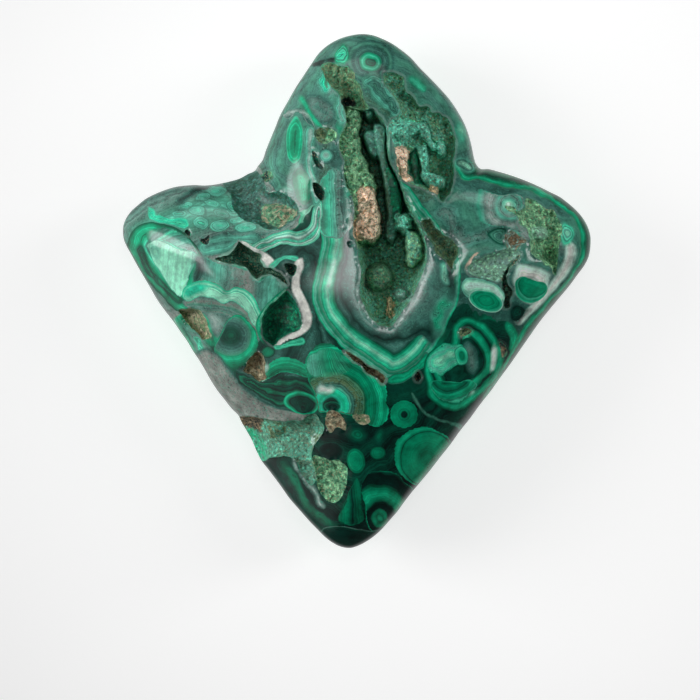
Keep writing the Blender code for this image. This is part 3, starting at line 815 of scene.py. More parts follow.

# The bands' growths, from the broad ones to the small ones that grow over them.
# A few small ones are painted highlights, and two carry painted sheen along the stone's edge.
GROWTHS = (
    # Grounds
    Growth(
        "lower matrix",
        ((300, 419), (318, 410), (345, 404), (385, 388), (425, 380), (455, 330), (500, 318), (560, 330), (525, 385),
         (470, 455), (400, 535), (350, 570), (310, 548), (262, 488), (236, 440), (240, 416)),
        ((300, 450), (350, 480), (400, 450), (480, 360)), ((0.0, DEEP), (0.2, DEEP), (0.35, INK), (0.55, BLACK),
        (0.7, DEEP), (0.85, BLACK), (1.0, DEEP)), 24.0, 0.5, wave=2.5,
    ),
    Growth(
        "heart ground",
        ((200, 345), (214, 345), (236, 352), (256, 345), (262, 318), (286, 284), (262, 262), (262, 245), (290, 232),
         (318, 204), (330, 240), (330, 330), (350, 350), (400, 376), (430, 350), (440, 370), (400, 395), (330, 405),
         (300, 424), (250, 400), (215, 372)),
        ((230, 365), (270, 395), (310, 345), (312, 300), (305, 260)), ((0.0, DEEP), (0.2, INK), (0.5, SLATE),
        (0.7, INK), (1.0, SLATE)), 10.0, 0.3, wave=2.5,
    ),
    Growth(
        "top bank",
        ((262, 200), (252, 160), (268, 108), (300, 52), (335, 18), (375, 14), (415, 38), (455, 82), (486, 132),
         (492, 168), (456, 200), (440, 215), (405, 205), (380, 120), (350, 105), (335, 130), (320, 200), (290, 215)),
        ((290, 160), (310, 95), (345, 55), (375, 60), (420, 88), (462, 140)), ((0.0, TEAL), (0.2, FERN), (0.34, TEAL),
        (0.5, CRUST), (0.62, TEAL), (0.8, CRUST), (1.0, TEAL)), 12.0, 0.3, wave=2.0,
    ),
    Growth(
        "right bank",
        ((405, 205), (440, 198), (462, 172), (500, 158), (560, 176), (612, 226), (604, 268), (572, 312), (530, 345),
         (500, 320), (462, 312), (446, 300), (452, 262), (428, 250)),
        ((440, 215), (470, 235), (520, 225), (560, 245)), ((0.0, SLATE), (0.3, TEAL), (0.45, SLATE), (0.6, TEAL),
        (0.75, CRUST), (0.88, TEAL), (1.0, GREY)), 7.0, 0.26, reach=70.0, wave=5.0,
    ),
    # Its grey edge along the silhouette is painted sheen, a painted reflection of the bright room on the steep flank;
    # further in are the lobe's own teal, crust green and turquoise
    Growth(
        "left bank",
        ((106, 244), (118, 200), (150, 178), (205, 170), (250, 160), (272, 186), (300, 222), (270, 238), (240, 240),
         (215, 258), (204, 290), (170, 320), (130, 280)),
        ((140, 240), (180, 215), (240, 212), (268, 228)), ((0.0, ASH), (0.2, GREY), (0.35, TEAL), (0.5, GREY),
        (0.75, CRUST), (1.0, TURQUOISE)), 10.0, 0.34, wave=2.0,
    ),
    Growth(
        "saddle shade",
        ((196, 246), (215, 234), (240, 234), (262, 236), (262, 244), (246, 243), (236, 240), (230, 250), (214, 256),
         (200, 256)),
        ((206, 246), (230, 240), (254, 240)), ((0.0, TEAL), (0.5, TURQUOISE), (1.0, TEAL)), 5.0, 0.4, soft=0.2,
    ),
    # The left lobe
    Growth(
        "left limb",
        ((126, 250), (130, 236), (138, 227), (150, 222), (164, 224), (178, 229), (190, 238), (199, 248), (203, 256),
         (202, 270), (198, 284), (190, 296), (204, 308), (196, 316), (180, 313), (164, 300), (148, 282), (134, 262)),
        (), ((0.0, DEEP), (0.1, RICH), (0.2, GREEN), (0.32, BRIGHT), (0.44, GREEN), (0.56, RICH), (0.66, GREEN),
        (0.78, JADE), (0.88, TEAL), (1.0, MINT)), 10.0, 0.4, reach=21.0,
    ),
    Growth(
        "limb shade",
        ((134, 246), (139, 242), (146, 252), (150, 264), (162, 280), (174, 292), (186, 302), (180, 306), (164, 294),
         (148, 276), (138, 260)),
        ((140, 250), (152, 274), (178, 299)), ((0.0, RICH), (0.5, DEEP), (1.0, RICH)), 3.0, 0.3, soft=0.4,
    ),
    Growth(
        "limb arcs",
        ((146, 236), (154, 229), (168, 228), (182, 234), (193, 244), (199, 254), (181, 249), (166, 242), (156, 240),
         (150, 243)),
        ((196, 280),), ((0.0, GREEN), (0.12, TEAL), (0.2, JADE), (0.28, TEAL), (0.36, TURQUOISE), (0.5, GREY),
        (1.0, TEAL)), 16.0, 0.4, reach=66.0,
    ),
    Growth(
        # Partly the pale silky malachite of the left lobe, partly a painted highlight where the left softbox is
        # reflected
        "left pale highlight field",
        ((150, 243), (157, 240), (166, 243), (181, 250), (198, 254), (195, 264), (189, 276), (184, 293), (180, 297),
         (171, 289), (160, 272), (152, 258)),
        ((128, 230), (120, 310)), ((0.0, CRUST), (0.2, TURQUOISE), (0.34, MINT), (0.62, MINT), (1.0, TURQUOISE)),
        13.0, 0.22, reach=92.0, wave=0.6,
    ),
    Growth(
        "field glint", oval(156, 252, 6, 9, -20),
        ((156, 252),), ((0.0, TURQUOISE), (1.0, MINT)), 2.0, 0.2, soft=0.5,
    ),
    Growth(
        "arc silk",
        ((203, 257), (214, 260), (226, 263), (238, 267), (247, 272), (257, 281), (266, 275), (276, 273), (288, 286),
         (276, 298), (264, 312), (259, 324), (250, 304), (238, 290), (228, 291), (215, 284), (203, 282), (200, 270)),
        ((184, 240), (178, 330)), ((0.0, GREEN), (0.08, CRUST), (0.2, TURQUOISE), (0.32, TEAL), (0.42, ASH),
        (0.55, GREY), (0.68, TURQUOISE), (0.8, TEAL), (0.9, SLATE)), 22.0, 0.26, reach=112.0,
    ),
    Growth(
        "arc shade", ((194, 255), (203, 254), (209, 262), (207, 276), (200, 283), (192, 284), (190, 276), (194, 266)),
        ((200, 260), (197, 280)), ((0.0, TEAL), (0.5, SLATE), (1.0, INK)), 3.0, 0.3, soft=0.5,
    ),
    Growth(
        "under arc",
        ((182, 302), (194, 296), (208, 294), (224, 300), (236, 298), (250, 308), (259, 324), (260, 340), (254, 346),
         (250, 332), (240, 322), (226, 316), (206, 314), (196, 312)),
        ((186, 306), (206, 309), (228, 311), (244, 320), (252, 336)), ((0.0, TEAL), (0.3, GREY), (0.5, ASH),
        (0.7, CRUST), (0.8, GREY), (1.0, TEAL)), 9.0, 0.25, wave=0.6,
    ),
    Growth(
        "mint arc",
        ((182, 297), (184, 288), (192, 283), (203, 281), (215, 283), (223, 287), (228, 291), (236, 287), (245, 290),
         (252, 296), (258, 306), (262, 318), (259, 329), (254, 324), (247, 312), (240, 305), (232, 301), (224, 304),
         (216, 299), (206, 296), (196, 298), (188, 302)),
        ((186, 299), (198, 295), (212, 296), (224, 301), (233, 298), (244, 307), (256, 324)), ((0.0, BRIGHT),
        (0.12, JADE), (0.22, MINT), (0.34, JADE), (0.46, MINT), (0.8, MINT), (1.0, PALE)), 8.0, 0.3, wave=0.6,
    ),
    Growth(
        "arc glint", ((182, 297), (184, 288), (192, 283), (204, 283), (212, 287), (205, 293), (196, 297), (188, 301)),
        ((188, 292), (200, 288)), ((0.0, BRIGHT), (0.3, AQUA), (1.0, AQUA)), 4.0, 0.4, soft=0.6, wave=0.5,
    ),
    Growth(
        "grey tongue",
        ((196, 307), (208, 311), (224, 312), (238, 316), (230, 322), (224, 332), (218, 340), (211, 332), (205, 318)),
        ((210, 314), (218, 330)), ((0.0, TEAL), (0.4, GREY), (1.0, MIST)), 4.0, 0.14, soft=0.3, wave=0.5,
    ),
    Growth(
        "eye limb",
        ((236, 314), (246, 318), (254, 326), (258, 338), (258, 350), (250, 361), (240, 368), (230, 373), (222, 364),
         (214, 348), (219, 338), (224, 328), (230, 318)),
        ((231, 336),), ((0.0, DEEP), (0.1, RICH), (0.2, GREEN), (0.28, BRIGHT), (0.36, GREEN), (0.42, CRUST),
        (0.5, TEAL), (0.6, SLATE), (0.74, DEEP), (0.88, DEEP), (1.0, RICH)), 12.0, 0.25, reach=33.0, wave=0.7,
    ),
    # The cells above the left crack
    Growth(
        "cell streak",
        ((144, 207), (152, 208), (160, 213), (170, 216), (182, 218), (190, 224), (182, 228), (168, 225), (156, 221),
         (147, 214)),
        ((152, 213), (168, 221), (184, 224)), ((0.0, CRUST), (0.25, JADE), (0.5, AQUA), (0.75, JADE), (1.0, GREEN)),
        6.0, 0.8, soft=0.2, wave=2.5,
    ),
    *(
        Growth(f"cell {number}", oval(x, y, wide, high, turn), ((x - 3, y), (x + 3, y)),
               ((0.0, SLATE), (0.18, CRUST), (0.3, TURQUOISE), (0.7, TURQUOISE), (1.0, JADE)), 5.0, 0.55,
               soft=0.2, wave=1.6)
        for number, (x, y, wide, high, turn) in enumerate(CELLS)
    ),
    Growth(
        "cell crack",
        ((172, 201), (180, 195), (190, 190), (204, 185), (214, 186), (203, 193), (190, 198), (178, 204)),
        ((180, 199), (205, 188)), ((0.0, SLATE), (0.4, SLATE), (1.0, INK)), 3.0, 0.6, soft=0.5, wave=1.5,
    ),
    # The trough's bank
    Growth(
        "limb bands",
        ((322, 196), (319, 215), (320, 240), (316, 262), (312, 284), (312, 302), (318, 318), (329, 334), (344, 349),
         (362, 362), (376, 372), (388, 379), (403, 376), (418, 367), (430, 355), (440, 340), (458, 300), (462, 262),
         (440, 230), (400, 180), (350, 170), (334, 180)),
        (), ((0.0, RICH), (0.04, BRIGHT), (0.12, TURQUOISE), (0.18, GREEN), (0.24, CRUST), (0.3, BRIGHT), (0.4, JADE),
        (0.48, MINT), (0.56, JADE), (0.66, GREEN), (0.74, DEEP), (0.82, SLATE), (0.9, TEAL), (1.0, SLATE)), 18.0, 0.4,
        reach=32.0, wave=1.0,
    ),
    Growth(
        "trough bank",
        ((336, 214), (342, 240), (340, 262), (338, 284), (341, 302), (349, 318), (361, 332), (376, 343), (390, 346),
         (404, 344), (418, 336), (430, 352), (446, 330), (456, 300), (458, 268), (444, 250), (430, 240), (420, 215),
         (400, 190), (380, 200), (350, 200)),
        ((350, 200), (355, 228), (358, 250), (361, 275), (359, 290), (363, 303), (372, 319), (384, 327), (392, 326),
        (405, 308), (416, 290), (421, 275), (426, 254)), ((0.0, SLATE), (0.25, INK), (0.45, SLATE), (0.75, TEAL),
        (0.9, GREY), (1.0, MIST)), 9.0, 0.24, soft=0.1, wave=2.0,
    ),
    Growth(
        "bank flecks",
        ((424, 286), (440, 280), (452, 290), (454, 312), (448, 334), (436, 348), (428, 340), (432, 318), (426, 302)),
        ((438, 296), (442, 322)), ((0.0, CRUST), (0.5, TURQUOISE), (1.0, BRIGHT)), 12.0, 1.0, soft=1.4, wave=4.0,
    ),
    Growth(
        "limb tail",
        ((384, 381), (392, 374), (404, 371), (416, 363), (427, 352), (430, 358), (420, 369), (408, 378), (396, 383)),
        ((390, 379), (408, 374), (424, 361)), ((0.0, SLATE), (0.3, GREEN), (0.7, BRIGHT), (1.0, GREEN)), 4.0, 0.4,
    ),
    Growth(
        "white fleck", oval(350, 221, 4, 10, 12),
        ((350, 218), (349, 226)), ((0.0, GREY), (0.5, WHITE), (1.0, WHITE)), 2.0, 0.1, soft=0.5,
    ),
    Growth(
        "limb streak", ((328, 262), (333, 252), (337, 262), (334, 276), (330, 290), (325, 288), (326, 274)),
        ((333, 260), (328, 284)), ((0.0, JADE), (0.5, MINT), (1.0, PALE)), 3.0, 0.2, soft=0.7,
    ),
    Growth(
        "seam right",
        ((322, 176), (330, 166), (341, 172), (347, 190), (352, 206), (351, 220), (345, 233), (334, 239), (322, 237),
         (319, 212)),
        ((317, 178), (319, 236)), ((0.0, GREY), (0.15, TURQUOISE), (0.3, TEAL), (0.45, GREY), (0.6, TURQUOISE),
        (0.75, JADE), (0.88, CRUST), (1.0, TEAL)), 11.0, 0.4, soft=0.3, reach=36.0, wave=1.4,
    ),
    Growth(
        "mint wave",
        ((252, 247), (262, 240), (274, 234), (288, 230), (300, 231), (309, 224), (314, 206), (320, 200), (321, 222),
         (318, 238), (306, 246), (292, 246), (282, 244), (272, 249), (262, 254)),
        ((258, 249), (284, 240), (302, 242), (315, 232), (319, 210)), ((0.0, TEAL), (0.12, JADE), (0.3, MINT),
        (0.45, TURQUOISE), (0.6, PALE), (0.75, GREY), (0.88, JADE), (1.0, TEAL)), 7.0, 0.36,
    ),
    Growth(
        "crack lip",
        ((239, 240), (246, 242), (254, 247), (262, 250), (270, 255), (276, 262), (272, 269), (266, 269), (262, 262),
         (256, 257), (248, 251), (241, 247)),
        ((243, 243), (258, 252), (270, 262)), ((0.0, GREY), (0.3, WHITE), (1.0, WHITE)), 2.0, 0.1, soft=0.4, wave=0.4,
    ),
    Growth(
        "lip thread",
        ((266, 268), (276, 259), (288, 255), (300, 257), (298, 262), (286, 260), (276, 265), (270, 271)),
        ((272, 266), (287, 257), (297, 260)), ((0.0, TEAL), (0.5, JADE), (1.0, TURQUOISE)), 2.0, 0.3, soft=0.4,
    ),
    # A painted highlight: a white ribbon of reflected light on the polish
    Growth(
        "ribbon highlight",
        ((294, 262), (303, 257), (305, 266), (302, 276), (301, 286), (305, 296), (310, 306), (313, 316), (312, 326),
         (305, 334), (296, 338), (286, 341), (277, 347), (273, 346), (281, 338), (291, 332), (300, 329), (302, 320),
         (299, 310), (295, 300), (291, 292), (291, 282), (293, 272)),
        ((299, 262), (296, 284), (304, 306), (307, 322), (298, 334), (277, 345)), ((0.0, GREY), (0.25, WHITE),
        (1.0, WHITE)), 2.0, 0.1, soft=0.4, wave=0.4,
    ),
    Growth(
        "oval rim",
        ((289, 285), (280, 291), (270, 300), (261, 311), (256, 322), (257, 334), (262, 343), (270, 348), (262, 338),
         (262, 320), (269, 306), (282, 296)),
        ((285, 290), (267, 306), (259, 322), (261, 336)), ((0.0, RICH), (0.4, GREEN), (0.8, BRIGHT), (1.0, PALE)),
        4.0, 0.4, soft=0.2, wave=0.5,
    ),
    # The lower left
    Growth(
        "lip streaks",
        ((180, 318), (196, 330), (208, 340), (218, 352), (226, 368), (231, 384), (224, 392), (208, 376), (194, 352)),
        ((196, 338), (222, 376)), ((0.0, SLATE), (0.25, CRUST), (0.5, GREY), (0.75, JADE), (1.0, TURQUOISE)), 6.0,
        0.6, soft=0.2, wave=2.0,
    ),
    # Painted sheen: the grey of this band is a painted reflection of the bright room on the steep lower-left lip,
    # edged with dark green
    Growth(
        "lower lip sheen",
        ((206, 346), (218, 352), (228, 364), (238, 376), (250, 390), (266, 402), (284, 409), (302, 412), (318, 411),
         (312, 420), (290, 424), (236, 424), (214, 404), (190, 360)),
        ((206, 362), (230, 396), (262, 413), (300, 417)), ((0.0, DEEP), (0.15, SLATE), (0.4, ASH), (1.0, ASH)), 4.0,
        0.18, soft=0.15, wave=0.6,
    ),
    Growth(
        "layered shadow",
        ((232, 368), (240, 372), (252, 377), (266, 380), (284, 376), (302, 378), (316, 384), (320, 396), (318, 410),
         (300, 412), (280, 407), (262, 399), (248, 388), (236, 378)),
        ((246, 380), (270, 390), (312, 397)), ((0.0, DEEP), (0.2, INK), (0.35, RICH), (0.5, INK), (0.65, DEEP),
        (0.8, BLACK), (1.0, RICH)), 12.0, 0.6, wave=2.2,
    ),
    Growth(
        "left crescent",
        ((261, 381), (264, 370), (273, 361), (286, 357), (299, 360), (309, 367), (319, 379), (306, 378), (296, 374),
         (285, 372), (273, 376)),
        ((287, 396),), ((0.0, GREEN), (0.1, BRIGHT), (0.22, GREEN), (0.36, RICH), (0.5, DEEP), (1.0, DEEP)), 12.0,
        0.4, reach=41.0, wave=0.6,
    ),
    Growth(
        "crescent horn", oval(302, 403, 19, 11, 6),
        ((302, 409),), ((0.0, GREEN), (0.1, BRIGHT), (0.2, RICH), (0.3, INK), (0.6, DEEP), (0.75, BLACK),
        (1.0, DEEP)), 7.0, 0.4, soft=0.06,
    ),
    Growth(
        "lip sliver", ((262, 378), (262, 368), (267, 361), (270, 364), (268, 372)),
        ((266, 368),), ((0.0, GREY), (1.0, PALE)), 2.0, 0.1, soft=0.6, wave=0.3,
    ),
    Growth("small green", oval(268, 353, 7, 6), ((268, 352),), ((0.0, INK), (0.4, RICH), (1.0, GREEN)), 3.0, 0.3),
    Growth(
        "jade thread",
        ((273, 347), (283, 345), (291, 341), (305, 338), (306, 342), (292, 346), (284, 349), (275, 350)),
        ((276, 348), (290, 344), (304, 340)), ((0.0, RICH), (0.5, JADE), (1.0, BRIGHT)), 2.0, 0.4, wave=0.5,
    ),
    # The great crescent
    Growth(
        "great crescent",
        ((305, 364), (309, 352), (316, 345), (326, 343), (338, 347), (350, 356), (360, 366), (372, 375), (383, 382),
         (388, 392), (387, 402), (390, 410), (386, 420), (378, 427), (370, 426), (360, 418), (346, 413), (332, 412),
         (320, 412), (317, 404), (315, 392), (308, 380)),
        ((332, 405),), ((0.0, DEEP), (0.05, RICH), (0.1, BRIGHT), (0.14, GREEN), (0.24, BRIGHT), (0.3, RICH),
        (0.4, GREEN), (0.46, RICH), (0.5, MOSS), (0.6, OLIVE), (0.66, SLATE), (0.7, CRUST), (0.74, AQUA),
        (0.8, BRIGHT), (0.84, AQUA), (0.88, DEEP), (0.92, INK), (1.0, INK)), 24.0, 0.5, reach=63.0, wave=0.8,
    ),
    Growth(
        "crescent fibres",
        ((306, 366), (310, 354), (320, 349), (334, 350), (347, 358), (352, 368), (340, 375), (322, 377), (310, 376)),
        ((296, 330), (300, 400)), ((0.0, GREEN), (0.25, CRUST), (0.5, GREEN), (0.75, TURQUOISE), (1.0, GREEN)), 26.0,
        0.5, reach=62.0, soft=0.9,
    ),
    # A painted highlight: the white glare on a rough spot of the great crescent
    Growth(
        "crescent highlight",
        ((316, 392), (318, 384), (322, 378), (327, 383), (332, 380), (338, 389), (334, 394), (324, 394)),
        ((322, 387), (331, 388)), ((0.0, TEAL), (0.5, PALE), (1.0, WHITE)), 4.0, 0.3, soft=0.9, wave=1.6,
    ),
    Growth(
        "crescent core", oval(333, 406, 9, 5),
        ((333, 408),), ((0.0, BRIGHT), (0.2, DEEP), (0.5, INK), (1.0, DEEP)), 2.0, 0.2, soft=0.2, wave=0.4,
    ),
    # The nest
    Growth(
        "nest",
        ((452, 337), (453, 327), (459, 320), (467, 317), (478, 320), (490, 328), (498, 340), (504, 355), (503, 369),
         (494, 384), (482, 395), (470, 404), (457, 411), (445, 410), (434, 404), (426, 394), (426, 384), (423, 372),
         (424, 360), (431, 351), (441, 347), (450, 344)),
        (), ((0.0, DEEP), (0.06, RICH), (0.16, BRIGHT), (0.26, GREEN), (0.32, DEEP), (0.38, INK), (0.46, GREEN),
        (0.58, BRIGHT), (0.66, RICH), (0.74, INK), (1.0, DEEP)), 9.0, 0.4, reach=27.0,
    ),
    Growth(
        "nest core", ((462, 341), (468, 338), (476, 344), (481, 356), (480, 368), (474, 378), (466, 374), (462, 360)),
        ((470, 350), (472, 366)), ((0.0, INK), (0.2, DEEP), (0.35, SLATE), (0.6, TEAL), (1.0, GREY)), 9.0, 0.4,
        wave=0.6,
    ),
    Growth(
        "nest crust",
        ((426, 362), (432, 354), (440, 350), (452, 346), (462, 346), (466, 356), (458, 366), (448, 372), (438, 372),
         (430, 369)),
        ((440, 360), (452, 356)), ((0.0, GREEN), (0.15, JADE), (0.35, TURQUOISE), (0.6, JADE), (1.0, MINT)), 34.0,
        1.8, wave=3.0,
    ),
    Growth(
        "nest ring", ((455, 350), (461, 346), (467, 350), (468, 358), (465, 365), (458, 366), (455, 359)),
        ((461, 356),), ((0.0, RICH), (0.15, JADE), (0.45, BRIGHT), (0.6, RICH), (1.0, GREEN)), 3.0, 0.4,
    ),
    Growth(
        "nest bowl",
        ((430, 384), (438, 379), (448, 382), (458, 383), (470, 380), (478, 384), (470, 393), (462, 401), (452, 404),
         (441, 400), (433, 393)),
        ((450, 372),), ((0.0, GREEN), (0.12, JADE), (0.22, GREEN), (0.3, BRIGHT), (0.42, DEEP), (0.55, GREEN),
        (0.66, INK), (1.0, DEEP)), 6.0, 0.4, reach=34.0,
    ),
    Growth(
        "nest glint", ((491, 347), (494, 341), (498, 347), (498, 360), (494, 371), (490, 374), (490, 360)),
        ((494, 350), (493, 368)), ((0.0, JADE), (0.5, PALE), (1.0, WHITE)), 2.0, 0.1, soft=0.6, wave=0.3,
    ),
    Growth(
        "bowl glint", ((463, 400), (468, 393), (476, 387), (482, 384), (478, 391), (470, 398)),
        ((472, 392),), ((0.0, JADE), (1.0, PALE)), 2.0, 0.1, soft=0.8, wave=0.3,
    ),
    Growth(
        "slope band",
        ((505, 318), (512, 322), (520, 334), (520, 346), (512, 356), (506, 350), (508, 338), (502, 326)),
        ((509, 326), (514, 342)), ((0.0, INK), (0.4, GREEN), (1.0, BRIGHT)), 4.0, 0.4, soft=0.4,
    ),
    # The lower discs
    Growth(
        "ring disc", oval(404, 414, 14.5, 14.5),
        ((404, 414),), ((0.0, INK), (0.06, RICH), (0.12, GREEN), (0.56, GREEN), (0.62, RICH), (0.68, GREEN),
        (0.74, RICH), (0.8, INK), (1.0, INK)), 7.0, 0.2, reach=15.0, wave=0.3,
    ),
    Growth(
        "great disc",
        ((393, 456), (396, 443), (403, 434), (412, 428), (423, 426), (436, 430), (448, 437), (452, 452), (444, 468),
         (430, 483), (416, 484), (404, 478), (396, 468)),
        ((427, 458),), ((0.0, DEEP), (0.04, GREEN), (0.12, BRIGHT), (0.18, GREEN), (0.21, DEEP), (0.24, GREEN),
        (0.6, GREEN), (0.85, RICH), (1.0, RICH)), 9.0, 0.16, reach=34.0, wave=0.6,
    ),
    Growth(
        "oval disc", oval(356, 461, 10, 13, -12),
        ((354, 461),), ((0.0, INK), (0.12, RICH), (0.3, GREEN), (1.0, GREEN)), 5.0, 0.3, wave=0.4,
    ),
    Growth(
        "small disc", oval(378, 453, 8, 7),
        ((378, 453),), ((0.0, INK), (0.2, RICH), (1.0, GREEN)), 2.0, 0.2, wave=0.4,
    ),
    Growth(
        "faint disc", oval(356, 435, 13, 11),
        ((358, 434),), ((0.0, INK), (0.4, DEEP), (1.0, RICH)), 4.0, 0.4, soft=0.5,
    ),
    Growth(
        "faint disc two", oval(380, 436, 9, 12, 10),
        ((379, 436),), ((0.0, INK), (0.5, DEEP), (1.0, RICH)), 3.0, 0.4, soft=0.5,
    ),
    Growth(
        "vein",
        ((410, 387), (416, 395), (424, 406), (430, 415), (444, 420), (463, 426), (463, 429), (444, 424), (428, 419),
         (420, 408), (411, 397)),
        ((411, 390), (427, 414), (462, 428)), ((0.0, INK), (0.6, CRUST), (1.0, CRUST)), 2.0, 0.3, soft=0.9, wave=1.4,
    ),
    # The lower tip
    Growth(
        "tip arcs",
        ((362, 500), (361, 486), (367, 476), (378, 471), (392, 472), (406, 480), (418, 490), (410, 510), (396, 524),
         (384, 531), (368, 528), (364, 514)),
        ((379, 517),), ((0.0, DEEP), (0.05, GREEN), (0.09, DEEP), (0.14, BLACK), (0.32, INK), (0.38, RICH),
        (0.44, GREEN), (0.52, BRIGHT), (0.6, GREEN), (0.66, DEEP), (0.72, BLACK), (0.8, INK), (0.85, GREEN),
        (0.93, RICH), (1.0, BRIGHT)), 12.0, 0.3, reach=49.0, wave=1.6,
    ),
    Growth(
        "tip left band",
        ((282, 452), (292, 466), (300, 484), (309, 500), (320, 512), (333, 521), (346, 520), (350, 528), (330, 532),
         (312, 520), (298, 500), (286, 482), (276, 464)),
        ((288, 470), (304, 498), (328, 523)), ((0.0, INK), (0.3, DEEP), (0.7, RICH), (1.0, DEEP)), 7.0, 0.5, wave=1.5,
    ),
    Growth(
        "tip thread",
        ((292, 450), (297, 456), (299, 468), (306, 478), (314, 486), (322, 498), (330, 508), (324, 512), (314, 500),
         (306, 488), (297, 478), (291, 464)),
        ((294, 455), (298, 474), (312, 490), (326, 509)), ((0.0, DEEP), (0.5, GREY), (1.0, MIST)), 2.0, 0.3, soft=0.9,
        wave=1.6,
    ),
    Growth(
        "tip rays", ((343, 505), (349, 488), (357, 476), (362, 488), (361, 505), (364, 520), (352, 526), (338, 520)),
        ((330, 470), (336, 530)), ((0.0, DEEP), (0.4, RICH), (0.55, INK), (0.7, GREEN), (1.0, INK)), 12.0, 0.4,
        reach=40.0, soft=0.2,
    ),
    Growth(
        "tip lens", ((317, 449), (324, 443), (334, 443), (344, 450), (341, 458), (328, 460)),
        ((328, 451),), ((0.0, SLATE), (0.12, INK), (0.5, BLACK), (1.0, INK)), 3.0, 0.3, soft=0.2,
    ),
    Growth(
        "tip facet",
        ((322, 530), (334, 527), (348, 527), (366, 529), (384, 527), (398, 526), (400, 540), (380, 560), (350, 575),
         (315, 560)),
        (), ((0.0, GREY), (0.06, DEEP), (0.15, INK), (1.0, INK)), 6.0, 0.2, reach=24.0,
    ),
    # The right lobe
    Growth(
        "right edge",
        ((450, 166), (480, 160), (520, 162), (560, 178), (604, 220), (612, 262), (590, 300), (560, 330), (520, 376),
         (492, 408), (482, 402), (496, 376), (510, 348), (526, 322), (546, 301), (564, 283), (575, 264), (579, 246),
         (576, 230), (567, 214), (554, 203), (538, 196), (520, 190), (500, 186), (480, 183), (460, 180)),
        ((470, 166), (522, 172), (570, 196), (594, 234), (592, 264), (574, 292), (540, 332), (498, 388)),
        ((0.0, MOSS), (0.12, GREEN), (0.24, BRIGHT), (0.34, RICH), (0.5, DEEP), (0.7, RICH), (0.85, FERN),
        (1.0, CRUST)), 7.0, 0.45, soft=0.08, wave=1.4,
    ),
    Growth(
        "right mint arcs",
        ((472, 206), (474, 194), (480, 189), (490, 192), (500, 194), (512, 193), (524, 198), (524, 208), (518, 214),
         (522, 226), (530, 238), (526, 242), (514, 232), (502, 227), (490, 225), (478, 218)),
        ((509, 205),), ((0.0, CRUST), (0.1, TURQUOISE), (0.18, JADE), (0.24, TURQUOISE), (0.34, GREY), (0.46, MIST),
        (0.56, GREY), (0.66, TURQUOISE), (0.74, GREY), (0.84, TURQUOISE), (1.0, MINT)), 22.0, 0.3, reach=38.0,
        soft=0.3,
    ),
    # A painted highlight: a bright spot in the middle of the right mint arcs
    Growth(
        "right highlight spot", oval(509, 204, 9, 6, 8),
        ((508, 203),), ((0.0, JADE), (0.5, MINT), (1.0, WHITE)), 3.0, 0.3, soft=0.6,
    ),
    Growth(
        "right sliver", ((514, 222), (520, 222), (528, 230), (531, 240), (526, 242), (519, 234)),
        ((518, 226), (527, 237)), ((0.0, GREY), (1.0, MIST)), 2.0, 0.1, soft=0.4,
    ),
    Growth(
        "right teal pocket",
        ((484, 232), (492, 225), (502, 225), (509, 231), (505, 238), (508, 250), (498, 248), (490, 242)),
        ((500, 237),), ((0.0, TEAL), (0.3, DEEP), (0.5, CRUST), (0.8, TEAL), (1.0, DEEP)), 6.0, 0.5, soft=0.3,
    ),
    Growth(
        "basin lip", ((466, 272), (467, 260), (474, 254), (484, 252), (476, 258), (470, 266), (470, 276)),
        ((469, 264), (478, 255)), ((0.0, GREY), (0.6, PINK), (1.0, MIST)), 2.0, 0.3, soft=0.5,
    ),
    Growth(
        "right pale border",
        ((516, 262), (530, 262), (546, 268), (554, 274), (550, 288), (544, 300), (532, 306), (520, 300), (512, 286),
         (513, 272)),
        ((530, 284),), ((0.0, GREY), (0.15, PALE), (0.5, WHITE), (0.75, MIST), (1.0, TEAL)), 7.0, 0.3, soft=0.2,
    ),
    # A painted highlight: the white streak of a softbox's reflection along the right lobe's flank
    Growth(
        "strip highlight",
        ((564, 236), (570, 240), (577, 246), (577, 258), (571, 272), (560, 286), (548, 300), (534, 313), (518, 326),
         (512, 322), (526, 308), (540, 296), (550, 282), (558, 268), (563, 254)),
        ((570, 246), (566, 268), (544, 296), (518, 322)), ((0.0, GREY), (0.3, PALE), (1.0, WHITE)), 3.0, 0.16,
        soft=0.5, wave=0.5,
    ),
    Growth(
        "right dark pocket", ((508, 304), (516, 300), (526, 305), (534, 308), (528, 316), (516, 326), (506, 322)),
        ((518, 312),), ((0.0, SLATE), (0.4, INK), (1.0, DEEP)), 4.0, 0.5, soft=0.4,
    ),
    Growth(
        "eye right", ((516, 281), (523, 276), (534, 280), (546, 284), (547, 292), (541, 299), (530, 303), (519, 298)),
        ((526, 279), (544, 286)), ((0.0, JADE), (0.1, GREEN), (0.2, JADE), (0.28, RICH), (0.36, GREEN), (0.7, GREEN),
        (1.0, BRIGHT)), 6.0, 0.25, wave=0.6,
    ),
    Growth(
        "eye cap",
        ((462, 286), (466, 278), (476, 277), (488, 281), (498, 286), (505, 294), (506, 303), (501, 300), (490, 293),
         (478, 292), (468, 298), (463, 294)),
        ((468, 286), (488, 286), (502, 297)), ((0.0, TURQUOISE), (0.4, MINT), (0.7, PALE), (1.0, PALE)), 4.0, 0.3,
        wave=0.7,
    ),
    Growth(
        "eye left", oval(486, 301, 18, 10.5, 14),
        ((486, 300),), ((0.0, PALE), (0.08, JADE), (0.2, GREEN), (0.4, GREEN), (0.5, RICH), (0.58, GREEN),
        (1.0, GREEN)), 7.0, 0.3, wave=0.7,
    ),
    Growth(
        "right turquoise", ((558, 228), (563, 221), (571, 226), (574, 236), (570, 246), (562, 246), (559, 238)),
        ((566, 234),), ((0.0, CRUST), (0.3, JADE), (0.6, TURQUOISE), (1.0, MINT)), 4.0, 0.6, soft=0.3,
    ),
    Growth(
        "mint tear", oval(446, 274, 7, 13, -6),
